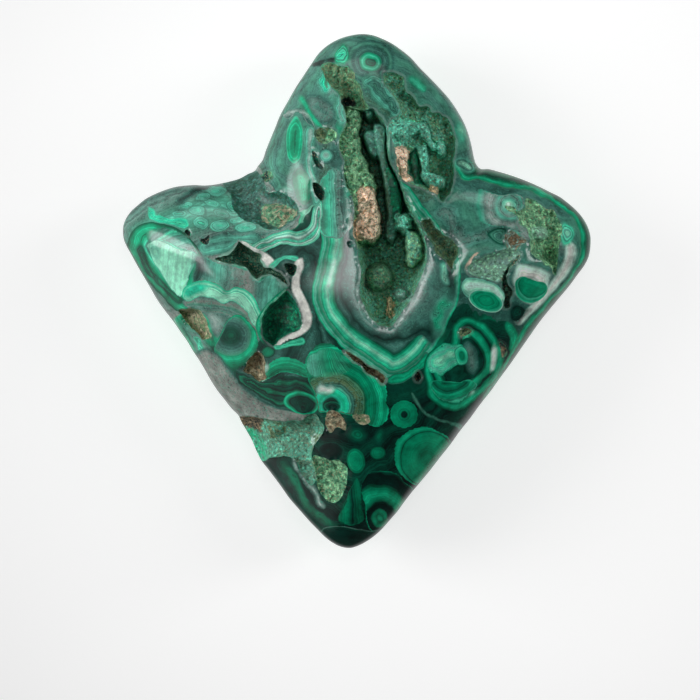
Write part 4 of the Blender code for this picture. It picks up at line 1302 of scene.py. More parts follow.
        ((446, 268), (447, 280)), ((0.0, TEAL), (0.4, TURQUOISE), (1.0, MINT)), 5.0, 0.5, soft=0.6, wave=2.0,
    ),
    # The top lobe
    Growth(
        "top eye", oval(372, 62, 27, 23, 10),
        ((368, 61), (372, 62)), ((0.0, TEAL), (0.2, SLATE), (0.3, CRUST), (0.42, SLATE), (0.5, TEAL), (0.62, SLATE),
        (0.7, GREEN), (0.76, JADE), (0.83, GREEN), (0.9, DEEP), (1.0, RICH)), 12.0, 0.3, reach=26.0, soft=0.2,
        wave=0.6,
    ),
    Growth(
        "top green", ((331, 53), (338, 48), (345, 42), (352, 48), (352, 60), (346, 67), (338, 65), (332, 60)),
        ((338, 56), (346, 54)), ((0.0, TEAL), (0.3, GREEN), (0.6, JADE), (1.0, AQUA)), 5.0, 0.7, soft=0.3, wave=2.0,
    ),
    Growth(
        "top crack", ((309, 66), (318, 59), (330, 55), (338, 57), (334, 62), (324, 63), (314, 68)),
        ((314, 65), (330, 59)), ((0.0, SLATE), (0.5, INK), (1.0, BLACK)), 3.0, 0.4, soft=0.5, wave=1.5,
    ),
    Growth(
        "top turquoise", ((314, 84), (315, 75), (322, 71), (330, 76), (331, 88), (325, 95), (317, 93)),
        ((322, 78), (324, 88)), ((0.0, CRUST), (0.3, TURQUOISE), (0.6, AQUA), (1.0, MOSS)), 5.0, 0.8, soft=0.3,
        wave=2.5,
    ),
    Growth(
        "bank polish",
        ((300, 92), (312, 90), (326, 96), (336, 104), (338, 118), (332, 126), (320, 127), (310, 118), (302, 106)),
        ((316, 106), (328, 114)), ((0.0, TEAL), (0.3, SLATE), (0.7, GREY), (1.0, TEAL)), 6.0, 0.3, soft=0.3,
    ),
    Growth(
        "bank turquoise",
        ((330, 92), (338, 90), (344, 98), (350, 108), (354, 118), (350, 130), (342, 132), (336, 122), (334, 106)),
        ((338, 98), (346, 122)), ((0.0, TEAL), (0.4, CRUST), (0.7, TURQUOISE), (1.0, GREY)), 7.0, 0.7, soft=0.4,
        wave=2.5,
    ),
    Growth(
        "green oval",
        ((296, 113), (302, 120), (305, 132), (304, 148), (300, 162), (294, 166), (288, 160), (285, 146), (286, 130),
         (290, 119)),
        ((296, 130), (295, 152)), ((0.0, TEAL), (0.15, CRUST), (0.28, BRIGHT), (0.36, GREEN), (0.5, BRIGHT),
        (0.62, GREEN), (1.0, RICH)), 6.0, 0.34, soft=0.1, wave=0.6,
    ),
    Growth(
        "oval halo", ((282, 118), (290, 108), (302, 108), (312, 118), (316, 130), (306, 122), (297, 113), (288, 120)),
        ((296, 140),), ((0.0, GREY), (0.2, SLATE), (0.3, MIST), (0.4, SLATE), (1.0, GREY)), 8.0, 0.3, reach=40.0,
        soft=0.3,
    ),
    Growth(
        "jade diagonal",
        ((296, 98), (301, 93), (309, 104), (317, 116), (324, 126), (330, 132), (320, 130), (308, 119), (300, 108)),
        ((300, 98), (312, 116), (324, 129)), ((0.0, TEAL), (0.4, GREEN), (1.0, BRIGHT)), 5.0, 0.5, soft=0.9,
    ),
    Growth(
        "mint vertical",
        ((303, 130), (309, 124), (318, 130), (316, 146), (313, 160), (315, 174), (320, 186), (321, 200), (314, 212),
         (309, 196), (305, 172), (304, 150)),
        ((311, 130), (309, 160), (316, 200)), ((0.0, TEAL), (0.3, CRUST), (0.6, TURQUOISE), (1.0, MIST)), 5.0, 0.4,
        soft=0.3,
    ),
    Growth(
        "green vertical", ((292, 172), (299, 166), (307, 171), (310, 186), (309, 200), (302, 208), (295, 198)),
        ((300, 176), (303, 198)), ((0.0, SLATE), (0.25, RICH), (0.6, GREEN), (1.0, BRIGHT)), 4.0, 0.4, soft=0.2,
    ),
    Growth(
        "mint ball", oval(326, 156, 9, 8),
        ((325, 154),), ((0.0, INK), (0.15, SLATE), (0.5, TURQUOISE), (1.0, MIST)), 3.0, 0.2, soft=0.1, wave=0.5,
    ),
    Growth(
        "top turquoise mass",
        ((358, 74), (366, 68), (380, 72), (387, 84), (393, 96), (402, 104), (404, 116), (393, 119), (384, 110),
         (374, 105), (366, 96), (360, 86)),
        ((368, 80), (380, 94), (394, 110)), ((0.0, SLATE), (0.2, CRUST), (0.5, TURQUOISE), (0.75, TEAL),
        (1.0, CRUST)), 8.0, 0.8, soft=0.2, wave=3.0,
    ),
    Growth(
        "top right green", oval(417, 84, 14, 7, 38),
        ((412, 80), (424, 90)), ((0.0, TEAL), (0.5, GREEN), (1.0, JADE)), 4.0, 0.4, soft=0.9,
    ),
    Growth(
        "jade glow", ((452, 124), (460, 118), (467, 128), (468, 144), (460, 148), (454, 138)),
        ((459, 131),), ((0.0, SLATE), (0.4, JADE), (1.0, MINT)), 3.0, 0.3, soft=0.8,
    ),
    Growth(
        "neck streak", ((452, 160), (462, 156), (474, 162), (476, 172), (464, 176), (454, 172)),
        ((460, 163), (470, 168)), ((0.0, SLATE), (0.4, TURQUOISE), (0.6, SLATE), (1.0, MINT)), 6.0, 0.6, soft=0.6,
    ),
)


@dataclass(frozen=True)
class Dome:
    """The polished skin of the stone: a domed crown above the widest outline, and a rounded underside.

    Fall is the share of the crown's rise that is lost by fall_reach from the middle. The underside curves as if
    to end belly times the girdle's height below it, and is cut flat at the table.
    """

    sheet: PlanSheet
    height: float
    fall: float = 0.24
    fall_reach: float = 60 * MM
    highest_swell: float = 1.2 * MM
    ripple: float = 0.10 * MM
    ripple_reach: float = 40.0
    ripple_seed: int = 3
    belly: float = 1.22
    under_roundness: float = 3.2
    under_softening: int = 27
    under_spacing: float = 1.3

    def rim(self) -> np.ndarray:
        """The widest outline.

        Returns:
            Its plan points, one row each.
        """
        return smooth_path(OUTLINE, DRAWN_STEPS)

    def angles_and_radii(self, plan: np.ndarray) -> tuple[np.ndarray, np.ndarray]:
        """Compass angle and distance of plan points from the sheet's middle.

        Args:
            plan: plan points, one row each.

        Returns:
            Angles in radians, from right towards top, and distances in squares.
        """
        across = plan - self.sheet.middle
        return np.arctan2(-across[:, 1], across[:, 0]), np.hypot(*across.T)

    def crown(self, plan: np.ndarray) -> np.ndarray:
        """Height of the polished crown at plan points.

        Args:
            plan: plan points, one row each.

        Returns:
            Heights in metres.
        """
        rim_angles, rim_radii = self.angles_and_radii(self.rim())
        order = np.argsort(rim_angles)
        angles, radii = self.angles_and_radii(plan)
        rim_radius = np.interp(angles, rim_angles[order], rim_radii[order], period=2 * math.pi)
        share = np.minimum(radii / rim_radius, 1.0)
        compass = np.radians([flank[0] for flank in FLANKS])
        roundness = np.interp(angles, compass, [flank[1] for flank in FLANKS], period=2 * math.pi)
        square = self.sheet.rim_square
        lost = self.fall * np.minimum((radii * square / self.fall_reach) ** 2, 1.0)
        rise = (self.height - self.sheet.girdle - self.highest_swell) * (1 - lost)
        for place, swell, reach in SWELLS:
            distance = np.hypot(*(plan - place).T) * square
            rise = rise + swell * MM * np.exp(-(distance**2) / (2 * (reach * MM) ** 2))
        rise = rise + self.ripple * hills(plan, self.ripple_reach, self.ripple_seed)
        return self.sheet.girdle + rise * np.sqrt(1 - share**roundness)

    def underside(self, rings: int) -> tuple[np.ndarray, np.ndarray]:
        """Rings from the widest outline down to the flat base.

        Args:
            rings: how many rings there are below the outline.

        Returns:
            The rings' places in metres, and their plan points as if unrolled outwards from the rim.
        """
        rim = self.rim()
        shifts = range(-self.under_softening, self.under_softening + 1)
        softer = np.mean([np.roll(rim, shift, axis=0) for shift in shifts], axis=0)
        lowest = math.asin(1 / self.belly)
        outward = (rim - self.sheet.middle) / np.hypot(*(rim - self.sheet.middle).T)[:, None]
        places, plans = [], []
        before, run = None, np.zeros(len(rim))
        for bend in lowest * np.linspace(0.0, 1.0, rings + 1) ** self.under_spacing:
            outline = rim + (softer - rim) * bend / lowest
            spread = math.cos(bend) ** (2 / self.under_roundness)
            flat = (outline - self.sheet.middle) * (spread, -spread) * self.sheet.rim_square
            z = np.full(len(rim), self.sheet.girdle * max(1 - self.belly * math.sin(bend), 0.0))
            place = np.column_stack([flat, z])
            if before is not None:
                run = run + np.linalg.norm(place - before, axis=1) / self.sheet.rim_square
            places.append(place)
            plans.append(rim + outward * run[:, None])
            before = place
        return np.array(places), np.array(plans)


@dataclass(frozen=True)
class Relief:
    """What the patches do to the crown, one value or colour for each of a set of plan points.

    Each field is kept on the mesh under its own name, for the finish to read.
    """

    sunk_mm: np.ndarray
    edge_mm: np.ndarray
    rim_light: np.ndarray
    gloss: np.ndarray
    knob: np.ndarray
    tint: np.ndarray
    fleck: np.ndarray


@dataclass
class Crown:
    """The crown with its hollows and crusts.

    Spacings are in squares, and points nearer than merge become one. A hollow's floor never goes below
    least_crown of the crown's rise. Each knob layer is a share, a reach in squares and a seed, and so is the
    grit between the knobs. Bumps above knob_level stand up and those below it sink in, by up to knob_mm, and
    they fade out within knob_fade_mm of an outline.
    """

    dome: Dome
    rim_shares: tuple[float, ...] = (1.0, 0.9994, 0.998, 0.995, 0.99, 0.982, 0.97, 0.955, 0.935)
    coarse: float = 2.0
    fine: float = 1.25
    crowded: float = 0.7
    widest_gap: float = 5.0
    least_crown: float = 0.22
    lip_mm: float = 0.22
    lip_reach_mm: float = 0.6
    margin: float = 12.0
    knob_layers: tuple[tuple[float, float, int], ...] = ((0.62, 6.5, 5), (0.38, 3.1, 6))
    grit: tuple[float, float, int] = (0.25, 2.2, 7)
    knob_mm: float = 0.55
    knob_level: float = 0.35
    knob_fade_mm: float = 0.7
    jitter: float = 0.25
    clearance: float = 0.62
    merge: float = 0.001
    scatter_seed: int = 8

    def __post_init__(self) -> None:
        """Works out each patch's loop once, because all the steps share them."""
        self.loops = {patch.name: patch.loop() for patch in PATCHES}

    def relief(self, plan: np.ndarray) -> Relief:
        """The hollows and crusts at plan points.

        Args:
            plan: plan points, one row each.

        Returns:
            Depths, distances to the nearest rim and finishes, one value for each point.
        """
        count = len(plan)
        mm = self.dome.sheet.rim_square / MM
        sunk, edge, rim_light = np.zeros(count), np.full(count, -self.margin * mm), np.zeros(count)
        gloss, rough = np.ones(count), np.zeros(count)
        tint, fleck = (np.tile(np.array(Shade.GREEN.value), (count, 1)) for _ in range(2))
        for patch in PATCHES:
            loop = self.loops[patch.name]
            low, high = loop.min(axis=0) - self.margin, loop.max(axis=0) + self.margin
            near = np.flatnonzero(((plan > low) & (plan < high)).all(axis=1))
            within, share, depth, distance = patch.relief(plan[near], loop)
            chosen, close = near[within], near[~within]
            distance = distance * mm
            profile = 1 - (1 - share) ** patch.steepness
            if patch.foot is None:
                sunk[chosen] = np.maximum(sunk[chosen], depth * profile)
                outside = -nearest_on(plan[close], loop, closed=True)[0] * mm
                nearer = outside > edge[close]
                edge[close[nearer]] = outside[nearer]
                rim_light[close[nearer]] = patch.rim
                edge[chosen] = np.maximum(edge[chosen], distance)
                rim_light[chosen] = patch.rim
            else:
                sunk[chosen] = np.minimum(sunk[chosen], patch.foot + (depth - patch.foot) * profile)
            gloss[chosen] = patch.gloss
            rough[chosen] = patch.knobby * np.minimum(distance / self.knob_fade_mm, 1.0)
            tint[chosen] = patch.tint.value
            fleck[chosen] = patch.fleck.value
        strength, reach, seed = self.grit
        bumps = sum(share * knobs(plan, wide, number) for share, wide, number in self.knob_layers)
        bumps = bumps + strength * hills(plan, reach, seed)
        sunk = np.maximum(sunk - self.knob_mm * rough * (bumps - self.knob_level), 0.0)
        outside = edge < 0
        sunk[outside] += self.lip_mm * np.exp(edge[outside] / self.lip_reach_mm)
        return Relief(sunk, edge, rim_light, gloss, bumps, tint, fleck)

    def surface(self, plan: np.ndarray, relief: Relief) -> np.ndarray:
        """The places of the crown's points.

        Args:
            plan: plan points, one row each.
            relief: the hollows and crusts at those points.

        Returns:
            Places in metres, one row each.
        """
        crown = self.dome.crown(plan)
        girdle = self.dome.sheet.girdle
        places = self.dome.sheet.place(plan, crown)
        places[:, 2] = np.maximum(crown - relief.sunk_mm * MM, girdle + self.least_crown * (crown - girdle))
        return places

    def spaced(self, loop: np.ndarray) -> np.ndarray:
        """The loop without points that crowd the one before them.

        Args:
            loop: the loop's points.

        Returns:
            The points that are kept.
        """
        kept = [loop[0]]
        for point in loop[1:]:
            if min(math.dist(point, kept[-1]), math.dist(point, kept[0])) > self.crowded:
                kept.append(point)
        return np.array(kept)

    def scattered(self, within: np.ndarray, kept: np.ndarray) -> np.ndarray:
        """Points of triangular grids inside the rim, finer in the hollows, away from the points that are kept.

        Args:
            within: the loop that bounds the points.
            kept: points of the drawn loops.

        Returns:
            Plan points, one row each.
        """
        random = np.random.default_rng(self.scatter_seed)
        tree = kdtree.KDTree(len(kept))
        for number, point in enumerate(kept):
            tree.insert((*point, 0.0), number)
        tree.balance()
        low, high = within.min(axis=0), within.max(axis=0)
        found = []
        for step, hollow in ((self.coarse, False), (self.fine, True)):
            rows = np.arange(low[1], high[1], step * math.sqrt(3) / 2)
            xs = np.arange(low[0], high[0], step)
            grid = np.array([(x + row % 2 * step / 2, y) for row, y in enumerate(rows) for x in xs])
            grid = grid[inside(grid, within)]
            if hollow:
                grid = grid + random.uniform(-self.jitter, self.jitter, grid.shape)
            in_hollow = np.zeros(len(grid), bool)
            for patch in PATCHES:
                if patch.foot is None:
                    in_hollow |= inside(grid, self.loops[patch.name])
            grid = grid[in_hollow == hollow]
            clear = [tree.find((*point, 0.0))[2] > self.clearance * step for point in grid]
            found.append(grid[clear])
        return np.concatenate(found)

    def triangles(self) -> tuple[np.ndarray, list[list[int]], list[int]]:
        """The crown's triangulation on the plan.

        Returns:
            Plan points, triangles as point numbers, and the numbers of the rim's points in order.
        """
        rim = self.dome.rim()
        hub = np.array(self.dome.sheet.middle)
        loops = [hub + (rim - hub) * share for share in self.rim_shares]
        innermost = loops[-1]
        for patch in PATCHES:
            for ring in patch.rings(self.loops[patch.name]):
                ring = self.spaced(ring)
                ring = ring[inside(ring, innermost)]
                if len(ring) > 3:
                    loops.append(ring)
        points = np.concatenate(loops)
        points = np.concatenate([points, self.scattered(innermost, points)])
        edges: list[tuple[int, int]] = []
        first = 0
        for loop in loops:
            following = np.roll(loop, -1, axis=0)
            joined = [i for i in range(len(loop)) if math.dist(loop[i], following[i]) < self.widest_gap]
            edges += [(first + i, first + (i + 1) % len(loop)) for i in joined]
            first += len(loop)
        found = geometry.delaunay_2d_cdt([Vector(point) for point in points], edges, [], INSIDE_LOOPS, self.merge)
        number_of = {source: number for number, merged in enumerate(found[3]) for source in merged}
        plan = np.array([tuple(point) for point in found[0]])
        return plan, found[2], [number_of[source] for source in range(len(rim))]


def set_values(mesh: bpy.types.Mesh, name: str, values: np.ndarray) -> None:
    """Stores values on a mesh's points, as a new attribute or over an old one.

    Args:
        mesh: the mesh.
        name: the attribute's name.
        values: one number, three numbers or one colour for each point.
    """
    kinds = {1: ("FLOAT", "value"), 3: ("FLOAT_VECTOR", "vector"), 4: ("FLOAT_COLOR", "color")}
    kind, key = kinds[values.size // len(values)]
    attribute = mesh.attributes.get(name) or mesh.attributes.new(name, kind, "POINT")
    attribute.data.foreach_set(key, np.ascontiguousarray(values, np.float32).ravel())


@dataclass
class Stone:
    """The whole stone as one mesh: the crown's triangles, and the underside's rings below its rim.

    The underside has no hollows, so its points are off_hollow_mm from one: a distance below zero is outside.
    """

    crown: Crown
    under_rings: int = 22
    base_inset: float = 0.985
    off_hollow_mm: float = -5.0
    weld: float = 0.001 * MM
    crease: float = math.radians(48)

    def crown_object(self) -> bpy.types.Object:
        """The crown's mesh, which no primitive can give: a triangulation that follows every drawn loop.

        Returns:
            The object, with its finishes stored on its points.
        """
        plan, triangles, _ = self.crown.triangles()
        relief = self.crown.relief(plan)
        places = self.crown.surface(plan, relief)
        mesh = bpy.data.meshes.new("crown")
        mesh.from_pydata([tuple(place) for place in places], [], triangles)
        made = bpy.data.objects.new("crown", mesh)
        bpy.context.scene.collection.objects.link(made)
        set_values(mesh, "plan", np.column_stack([plan, np.zeros(len(plan))]))
        for name, values in vars(relief).items():
            set_values(mesh, name, values)
        return made

    def underside_object(self) -> bpy.types.Object:
        """The underside, from a circle extruded ring by ring and set on the stone's curves.

        Returns:
            The object, with its finishes stored on its points.
        """
        places, plans = self.crown.dome.underside(self.under_rings)
        around = places.shape[1]
        bpy.ops.mesh.primitive_circle_add(vertices=around, radius=self.crown.dome.sheet.girdle)
        made = bpy.context.object
        made.name = "underside"
        bpy.ops.object.mode_set(mode="EDIT")
        bpy.ops.mesh.select_all(action="SELECT")
        for _ in range(self.under_rings):
            bpy.ops.mesh.extrude_edges_move(TRANSFORM_OT_translate={"value": (0.0, 0.0, -MM)})
        bpy.ops.mesh.extrude_edges_move(TRANSFORM_OT_translate={"value": (0.0, 0.0, 0.0)})
        bpy.ops.mesh.edge_face_add()
        bpy.ops.object.mode_set(mode="OBJECT")
        inset = places[-1] * (self.base_inset, self.base_inset, 1.0)
        rings = np.concatenate([places.reshape(-1, 3), inset])
        made.data.vertices.foreach_set("co", np.ascontiguousarray(rings, np.float32).ravel())
        flat = np.concatenate([plans.reshape(-1, 2), plans[-1]])
        set_values(made.data, "plan", np.column_stack([flat, np.zeros(len(flat))]))
        set_values(made.data, "edge_mm", np.full(len(flat), self.off_hollow_mm))
        set_values(made.data, "gloss", np.ones(len(flat)))
        for name in ("tint", "fleck"):
            set_values(made.data, name, np.tile(np.array(Shade.GREEN.value), (len(flat), 1)))
        return made

    def build(self) -> bpy.types.Object:
        """The two halves joined and welded at the rim, with every zone's share stored on the points.

        Returns:
            The finished object.
        """
        bpy.ops.object.select_all(action="DESELECT")
        underside = self.underside_object()
        crown = self.crown_object()
        crown.select_set(True)
        underside.select_set(True)
        bpy.context.view_layer.objects.active = crown
        bpy.ops.object.join()
        crown.name = "malachite_stone"
        bpy.ops.object.mode_set(mode="EDIT")
        bpy.ops.mesh.select_all(action="SELECT")
        bpy.ops.mesh.remove_doubles(threshold=self.weld)
        bpy.ops.mesh.normals_make_consistent(inside=False)
        bpy.ops.object.mode_set(mode="OBJECT")
        bpy.ops.object.shade_smooth_by_angle(angle=self.crease)
        self.store_zones(crown.data)
        return crown

    def store_zones(self, mesh: bpy.types.Mesh) -> None:
        """Stores each growth's share on the mesh's points.

        Args:
            mesh: the stone's mesh, whose points carry their plan places.
        """
        plan = np.empty(len(mesh.vertices) * 3, np.float32)
        mesh.attributes["plan"].data.foreach_get("vector", plan)
        plan = plan.reshape(-1, 3)[:, :2].astype(float)
        for growth in GROWTHS:
            set_values(mesh, growth.attribute, growth.share(plan))


Socket = bpy.types.NodeSocket


@dataclass(frozen=True)
class Noise:
    """A noise texture: waves for each metre, octaves, how strong the finer ones are, and how far it is warped."""

    scale: float | Socket
    octaves: float = 2.0
    rough: float = 0.5
    warp: float = 0.0


class Graph:
    """A node tree under construction, with short calls for the nodes that the finishes use."""

    def __init__(self, tree: bpy.types.NodeTree) -> None:
        """Starts on a tree.

        Args:
            tree: the node tree.
        """
        self.tree = tree
        self.entry: bpy.types.Node | None = None

    @classmethod
    def group(cls, name: str, inputs: dict[str, str], outputs: dict[str, str]) -> "Graph":
        """A new shader node group.

        Args:
            name: the group's name.
            inputs: each input's name with its kind, Float, Color or Vector.
            outputs: each output's name with its kind.

        Returns:
            The group's graph, with its input node in `entry`.
        """
        tree = bpy.data.node_groups.new(name, "ShaderNodeTree")
        for label, kind in inputs.items():
            tree.interface.new_socket(label, in_out="INPUT", socket_type=f"NodeSocket{kind}")
        for label, kind in outputs.items():
            tree.interface.new_socket(label, in_out="OUTPUT", socket_type=f"NodeSocket{kind}")
        made = cls(tree)
        made.entry = tree.nodes.new("NodeGroupInput")
        return made

    def give(self, **outputs: Socket) -> bpy.types.NodeTree:
        """Ends a group by linking its outputs.

        Args:
            outputs: the socket for each output, by its name with underscores for spaces.

        Returns:
            The finished group.
        """
        end = self.tree.nodes.new("NodeGroupOutput")
        for label, socket in outputs.items():
            self.tree.links.new(socket, end.inputs[label.replace("_", " ")])
        return self.tree

    def node(self, kind: str, settings: dict[str, object] | None = None, **inputs: object) -> bpy.types.Node:
        """A new node.

        Args:
            kind: the node's type, without its ShaderNode prefix.
            settings: the node's own properties.
            inputs: a socket or a value for each input, by its name with underscores for spaces.

        Returns:
            The node.
        """
        made = self.tree.nodes.new("ShaderNode" + kind)
        for key, value in (settings or {}).items():
            setattr(made, key, value)
        for label, value in inputs.items():
            self.feed(made.inputs[label.replace("_", " ")], value)
        return made

    def feed(self, target: Socket, value: object) -> None:
        """Links a socket to an input, or sets the input's value.

        Args:
            target: the input.
            value: a socket, or the value.
        """
        if isinstance(value, Socket):
            self.tree.links.new(value, target)
        else:
            target.default_value = value

    def math(self, operation: str, *values: object, clamp: bool = False) -> Socket:
        """A maths node's result.

        Args:
            operation: the node's operation.
            values: its operands.
            clamp: whether the result is kept between 0 and 1.

        Returns:
            The result's socket.
        """
        made = self.tree.nodes.new("ShaderNodeMath")
        made.operation = operation
        made.use_clamp = clamp
        for target, value in zip(made.inputs, values):
            self.feed(target, value)
        return made.outputs[0]

    def step(self, value: Socket, start: float, end: float) -> Socket:
        """A smooth step from 0 at start to 1 at end.

        Args:
            value: the value.
            start: where the step starts.
            end: where it ends, above or below start.

        Returns:
            The result's socket.
        """
        made = self.node("MapRange", {"interpolation_type": "SMOOTHSTEP"}, Value=value)
        low, high = min(start, end), max(start, end)
        made.inputs["From Min"].default_value, made.inputs["From Max"].default_value = low, high
        if start > end:
            made.inputs["To Min"].default_value, made.inputs["To Max"].default_value = 1.0, 0.0
        return made.outputs["Result"]

    def mix(self, factor: object, first: object, second: object, blend: str = "MIX") -> Socket:
        """A colour mix.

        Args:
            factor: the share of the second colour.
            first: the first colour.
            second: the second colour.
            blend: the way they are blended.

        Returns:
            The mixed colour's socket.
        """
        made = self.node("Mix", {"data_type": "RGBA", "blend_type": blend})
        for label, value in (("Factor_Float", factor), ("A_Color", first), ("B_Color", second)):
            self.feed(next(s for s in made.inputs if s.identifier == label), value)
        return next(s for s in made.outputs if s.identifier == "Result_Color")

    def blend(self, factor: object, first: object, second: object) -> Socket:
        """A mix of two numbers.

        Args:
            factor: the share of the second number.
            first: the first number.
            second: the second number.

        Returns:
            The mixed number's socket.
        """
        made = self.node("Mix", {"data_type": "FLOAT"})
        for label, value in (("Factor_Float", factor), ("A_Float", first), ("B_Float", second)):
            self.feed(next(s for s in made.inputs if s.identifier == label), value)
        return next(s for s in made.outputs if s.identifier == "Result_Float")

    def noise(self, place: Socket, noise: Noise) -> Socket:
        """A noise texture's value.

        Args:
            place: the coordinate.
            noise: the texture's settings.

        Returns:
            The value's socket.
        """
        made = self.node("TexNoise", None, Vector=place, Scale=noise.scale, Detail=noise.octaves,
                         Roughness=noise.rough, Distortion=noise.warp)
        return made.outputs["Fac"]

    def dot(self, first: object, second: object) -> Socket:
        """The dot product of two vectors.

        Args:
            first: a vector or its socket.
            second: the other one.

        Returns:
            The product's socket.
        """
        made = self.node("VectorMath", {"operation": "DOT_PRODUCT"})
        self.feed(made.inputs[0], first)
        self.feed(made.inputs[1], second)
        return made.outputs["Value"]

    def stored(self, name: str, output: str = "Fac") -> Socket:
        """A number or a colour stored on the mesh.

        Args:
            name: the attribute's name.
            output: Fac for a number, or Color.

        Returns:
            Its socket.
        """
        return self.node("Attribute", {"attribute_name": name}).outputs[output]

    def use(self, group: bpy.types.NodeTree, **inputs: object) -> bpy.types.Node:
        """A group placed in this tree.

        Args:
            group: the node group.
            inputs: a socket or a value for each input, by its name with underscores for spaces.

        Returns:
            The group's node.
        """
        made = self.tree.nodes.new("ShaderNodeGroup")
        made.node_tree = group
        for label, value in inputs.items():
            self.feed(made.inputs[label.replace("_", " ")], value)
        return made

    def ramp(self, value: Socket, stops: tuple[tuple[float, Shade], ...]) -> Socket:
        """A colour ramp.

        Args:
            value: the ramp's coordinate.
            stops: positions from 0 to 1, each with its shade.

        Returns:
            The colour's socket.
        """
        made = self.node("ValToRGB", None, Fac=value)
        elements = made.color_ramp.elements
        elements.remove(elements[-1])
        elements[0].position, elements[0].color = stops[0][0], stops[0][1].value
        for position, shade in stops[1:]:
            elements.new(position).color = shade.value
        return made.outputs["Color"]


@dataclass(frozen=True)
class MalachiteFinish:
    """The stone's finish: polished bands on the skin, and dull crystal crusts in the hollows.

    Lengths are in metres, apart from the names that end in mm. A pair is where a mask starts and where it is
    full, a gain multiplies a colour, and a share is how far one colour goes over to the next.
    """

    # The polish and the crusts' surface
    polish: float = 0.10
    polish_haze: float = 0.10
    haze: Noise = Noise(90.0, 3.0)
    index: float = 1.60
    crust_roughness: float = 0.82
    crust_depth: float = 0.35 * MM
    hollow_edge_mm: Pair = (0.0, 0.12)
    # The nodules of the ground
    nodule_scale: float = 62.0
    nodule_bands: float = 9.0
    nodule_contrast: float = 0.3
    nodule_smoothness: float = 0.35
    nodule_start: float = 37.0
    nodule_sway: Noise = Noise(45.0)
    nodule_push: tuple[float, float, float] = (0.012, 0.012, 0.012)
    pale_nodules: Pair = (0.62, 0.7)
    # The hairline bands
    growth_start: float = 11.3
    cover_trace: float = 1e-7
    hairline: Noise = Noise(1.8, 3.0, 0.65)
    hairline_wander: Noise = Noise(700.0)
    hairline_push: float = 0.5
    hairline_strength: float = 6.0
    pale_line_share: float = 0.75
    pale_line_gain: Rgba = (1.9, 1.95, 1.85, 1.0)
    pale_line_lift: Rgba = (0.004, 0.03, 0.022, 1.0)
    # The clouding and the flecks
    cloud: Noise = Noise(260.0, 5.0, 0.68)
    cloud_strength: float = 3.4
    cloud_base: float = -0.42
    grey_saturation: Pair = (0.88, 0.66)
    grey_brightness: Pair = (0.6, 0.36)
    green_fleck: Noise = Noise(1100.0, 3.0, 0.65, 1.5)
    green_fleck_edge: Pair = (0.55, 0.62)
    green_fleck_share: float = 0.6
    dark_fleck: Noise = Noise(1700.0, 3.0, 0.65, 1.0)
    dark_fleck_edge: Pair = (0.55, 0.64)
    dark_fleck_share: float = 0.55
    # The seam along a hollow's rim
    seam_wander: Noise = Noise(500.0, 3.0)
    seam_wander_mm: float = 1.2
    seam_outer_mm: Pair = (-0.62, -0.2)
    seam_inner_mm: Pair = (0.5, 0.1)
    seam_share: float = 0.8
    # The crystals of the crusts, with painted shade in low grain and crevices and painted highlights on high grain
    grain_scale: float = 1500.0
    grain_octaves: float = 3.0
    grain_rough: float = 0.62
    speckle_scale: float = 2600.0
    tint_noise: Noise = Noise(480.0, 4.0, 0.65, 1.4)
    tint_edge: Pair = (0.45, 0.57)
    crust_gain: Rgba = (1.7, 1.75, 1.75, 1.0)
    # Painted shade in low grain and crevices, then painted highlights on high grain
    pit_shade_gain: Rgba = (0.20, 0.34, 0.30, 1.0)
    pit_shade_edge: Pair = (0.48, 0.35)
    crevice_shade_edge: Pair = (0.40, 0.12)
    crevice_shade_share: float = 0.5
    tip_highlight_gain: Rgba = (2.3, 2.3, 2.3, 1.0)
    tip_edge: Pair = (0.54, 0.68)
    rust_edge: Pair = (0.59, 0.66)
    rust: float = 0.65
    rust_lost_to_gloss: float = 0.8
    # Painted shade: the crusts darken towards black between these depths of the hollows
    deep_shade_mm: Pair = (7.0, 14.0)
    deep_shade_share: float = 0.12

    def nodules(self) -> bpy.types.NodeTree:
        """The stone's mass: round nodules, each with rings about its centre, in a dark matrix.

        Returns:
            The node group.
        """
        graph = Graph.group(
            "malachite nodules", {"Place": "Vector", "Scale": "Float", "Bands": "Float"},
            {"Colour": "Color", "Band": "Float"},
        )
        place, scale, bands = (graph.entry.outputs[label] for label in ("Place", "Scale", "Bands"))
        sway = graph.node("TexNoise", None, Vector=place, Scale=self.nodule_sway.scale,
                          Detail=self.nodule_sway.octaves)
        moved = graph.node("VectorMath", {"operation": "MULTIPLY_ADD"})
        for target, value in zip(moved.inputs, (sway.outputs["Color"], self.nodule_push, place)):
            graph.feed(target, value)
        cells = graph.node("TexVoronoi", {"feature": "SMOOTH_F1"}, Vector=moved.outputs[0], Scale=scale,
                           Smoothness=self.nodule_smoothness)
        distance = cells.outputs["Distance"]
        hue = graph.node("SeparateColor", None, Color=cells.outputs["Color"]).outputs[0]
        start = graph.math("MULTIPLY", hue, self.nodule_start)
        band = graph.math("ADD", graph.math("MULTIPLY", distance, bands), start)
        body = graph.ramp(distance, ((0.0, DEEP), (0.16, GREEN), (0.3, RICH), (0.42, BRIGHT), (0.52, RICH),
                                     (0.66, DEEP), (0.85, INK)))
        pale = graph.ramp(distance, ((0.0, JADE), (0.2, RICH), (0.34, MINT), (0.44, GREEN), (0.6, TEAL),
                                     (0.85, SLATE)))
        return graph.give(Colour=graph.mix(graph.step(hue, *self.pale_nodules), body, pale), Band=band)

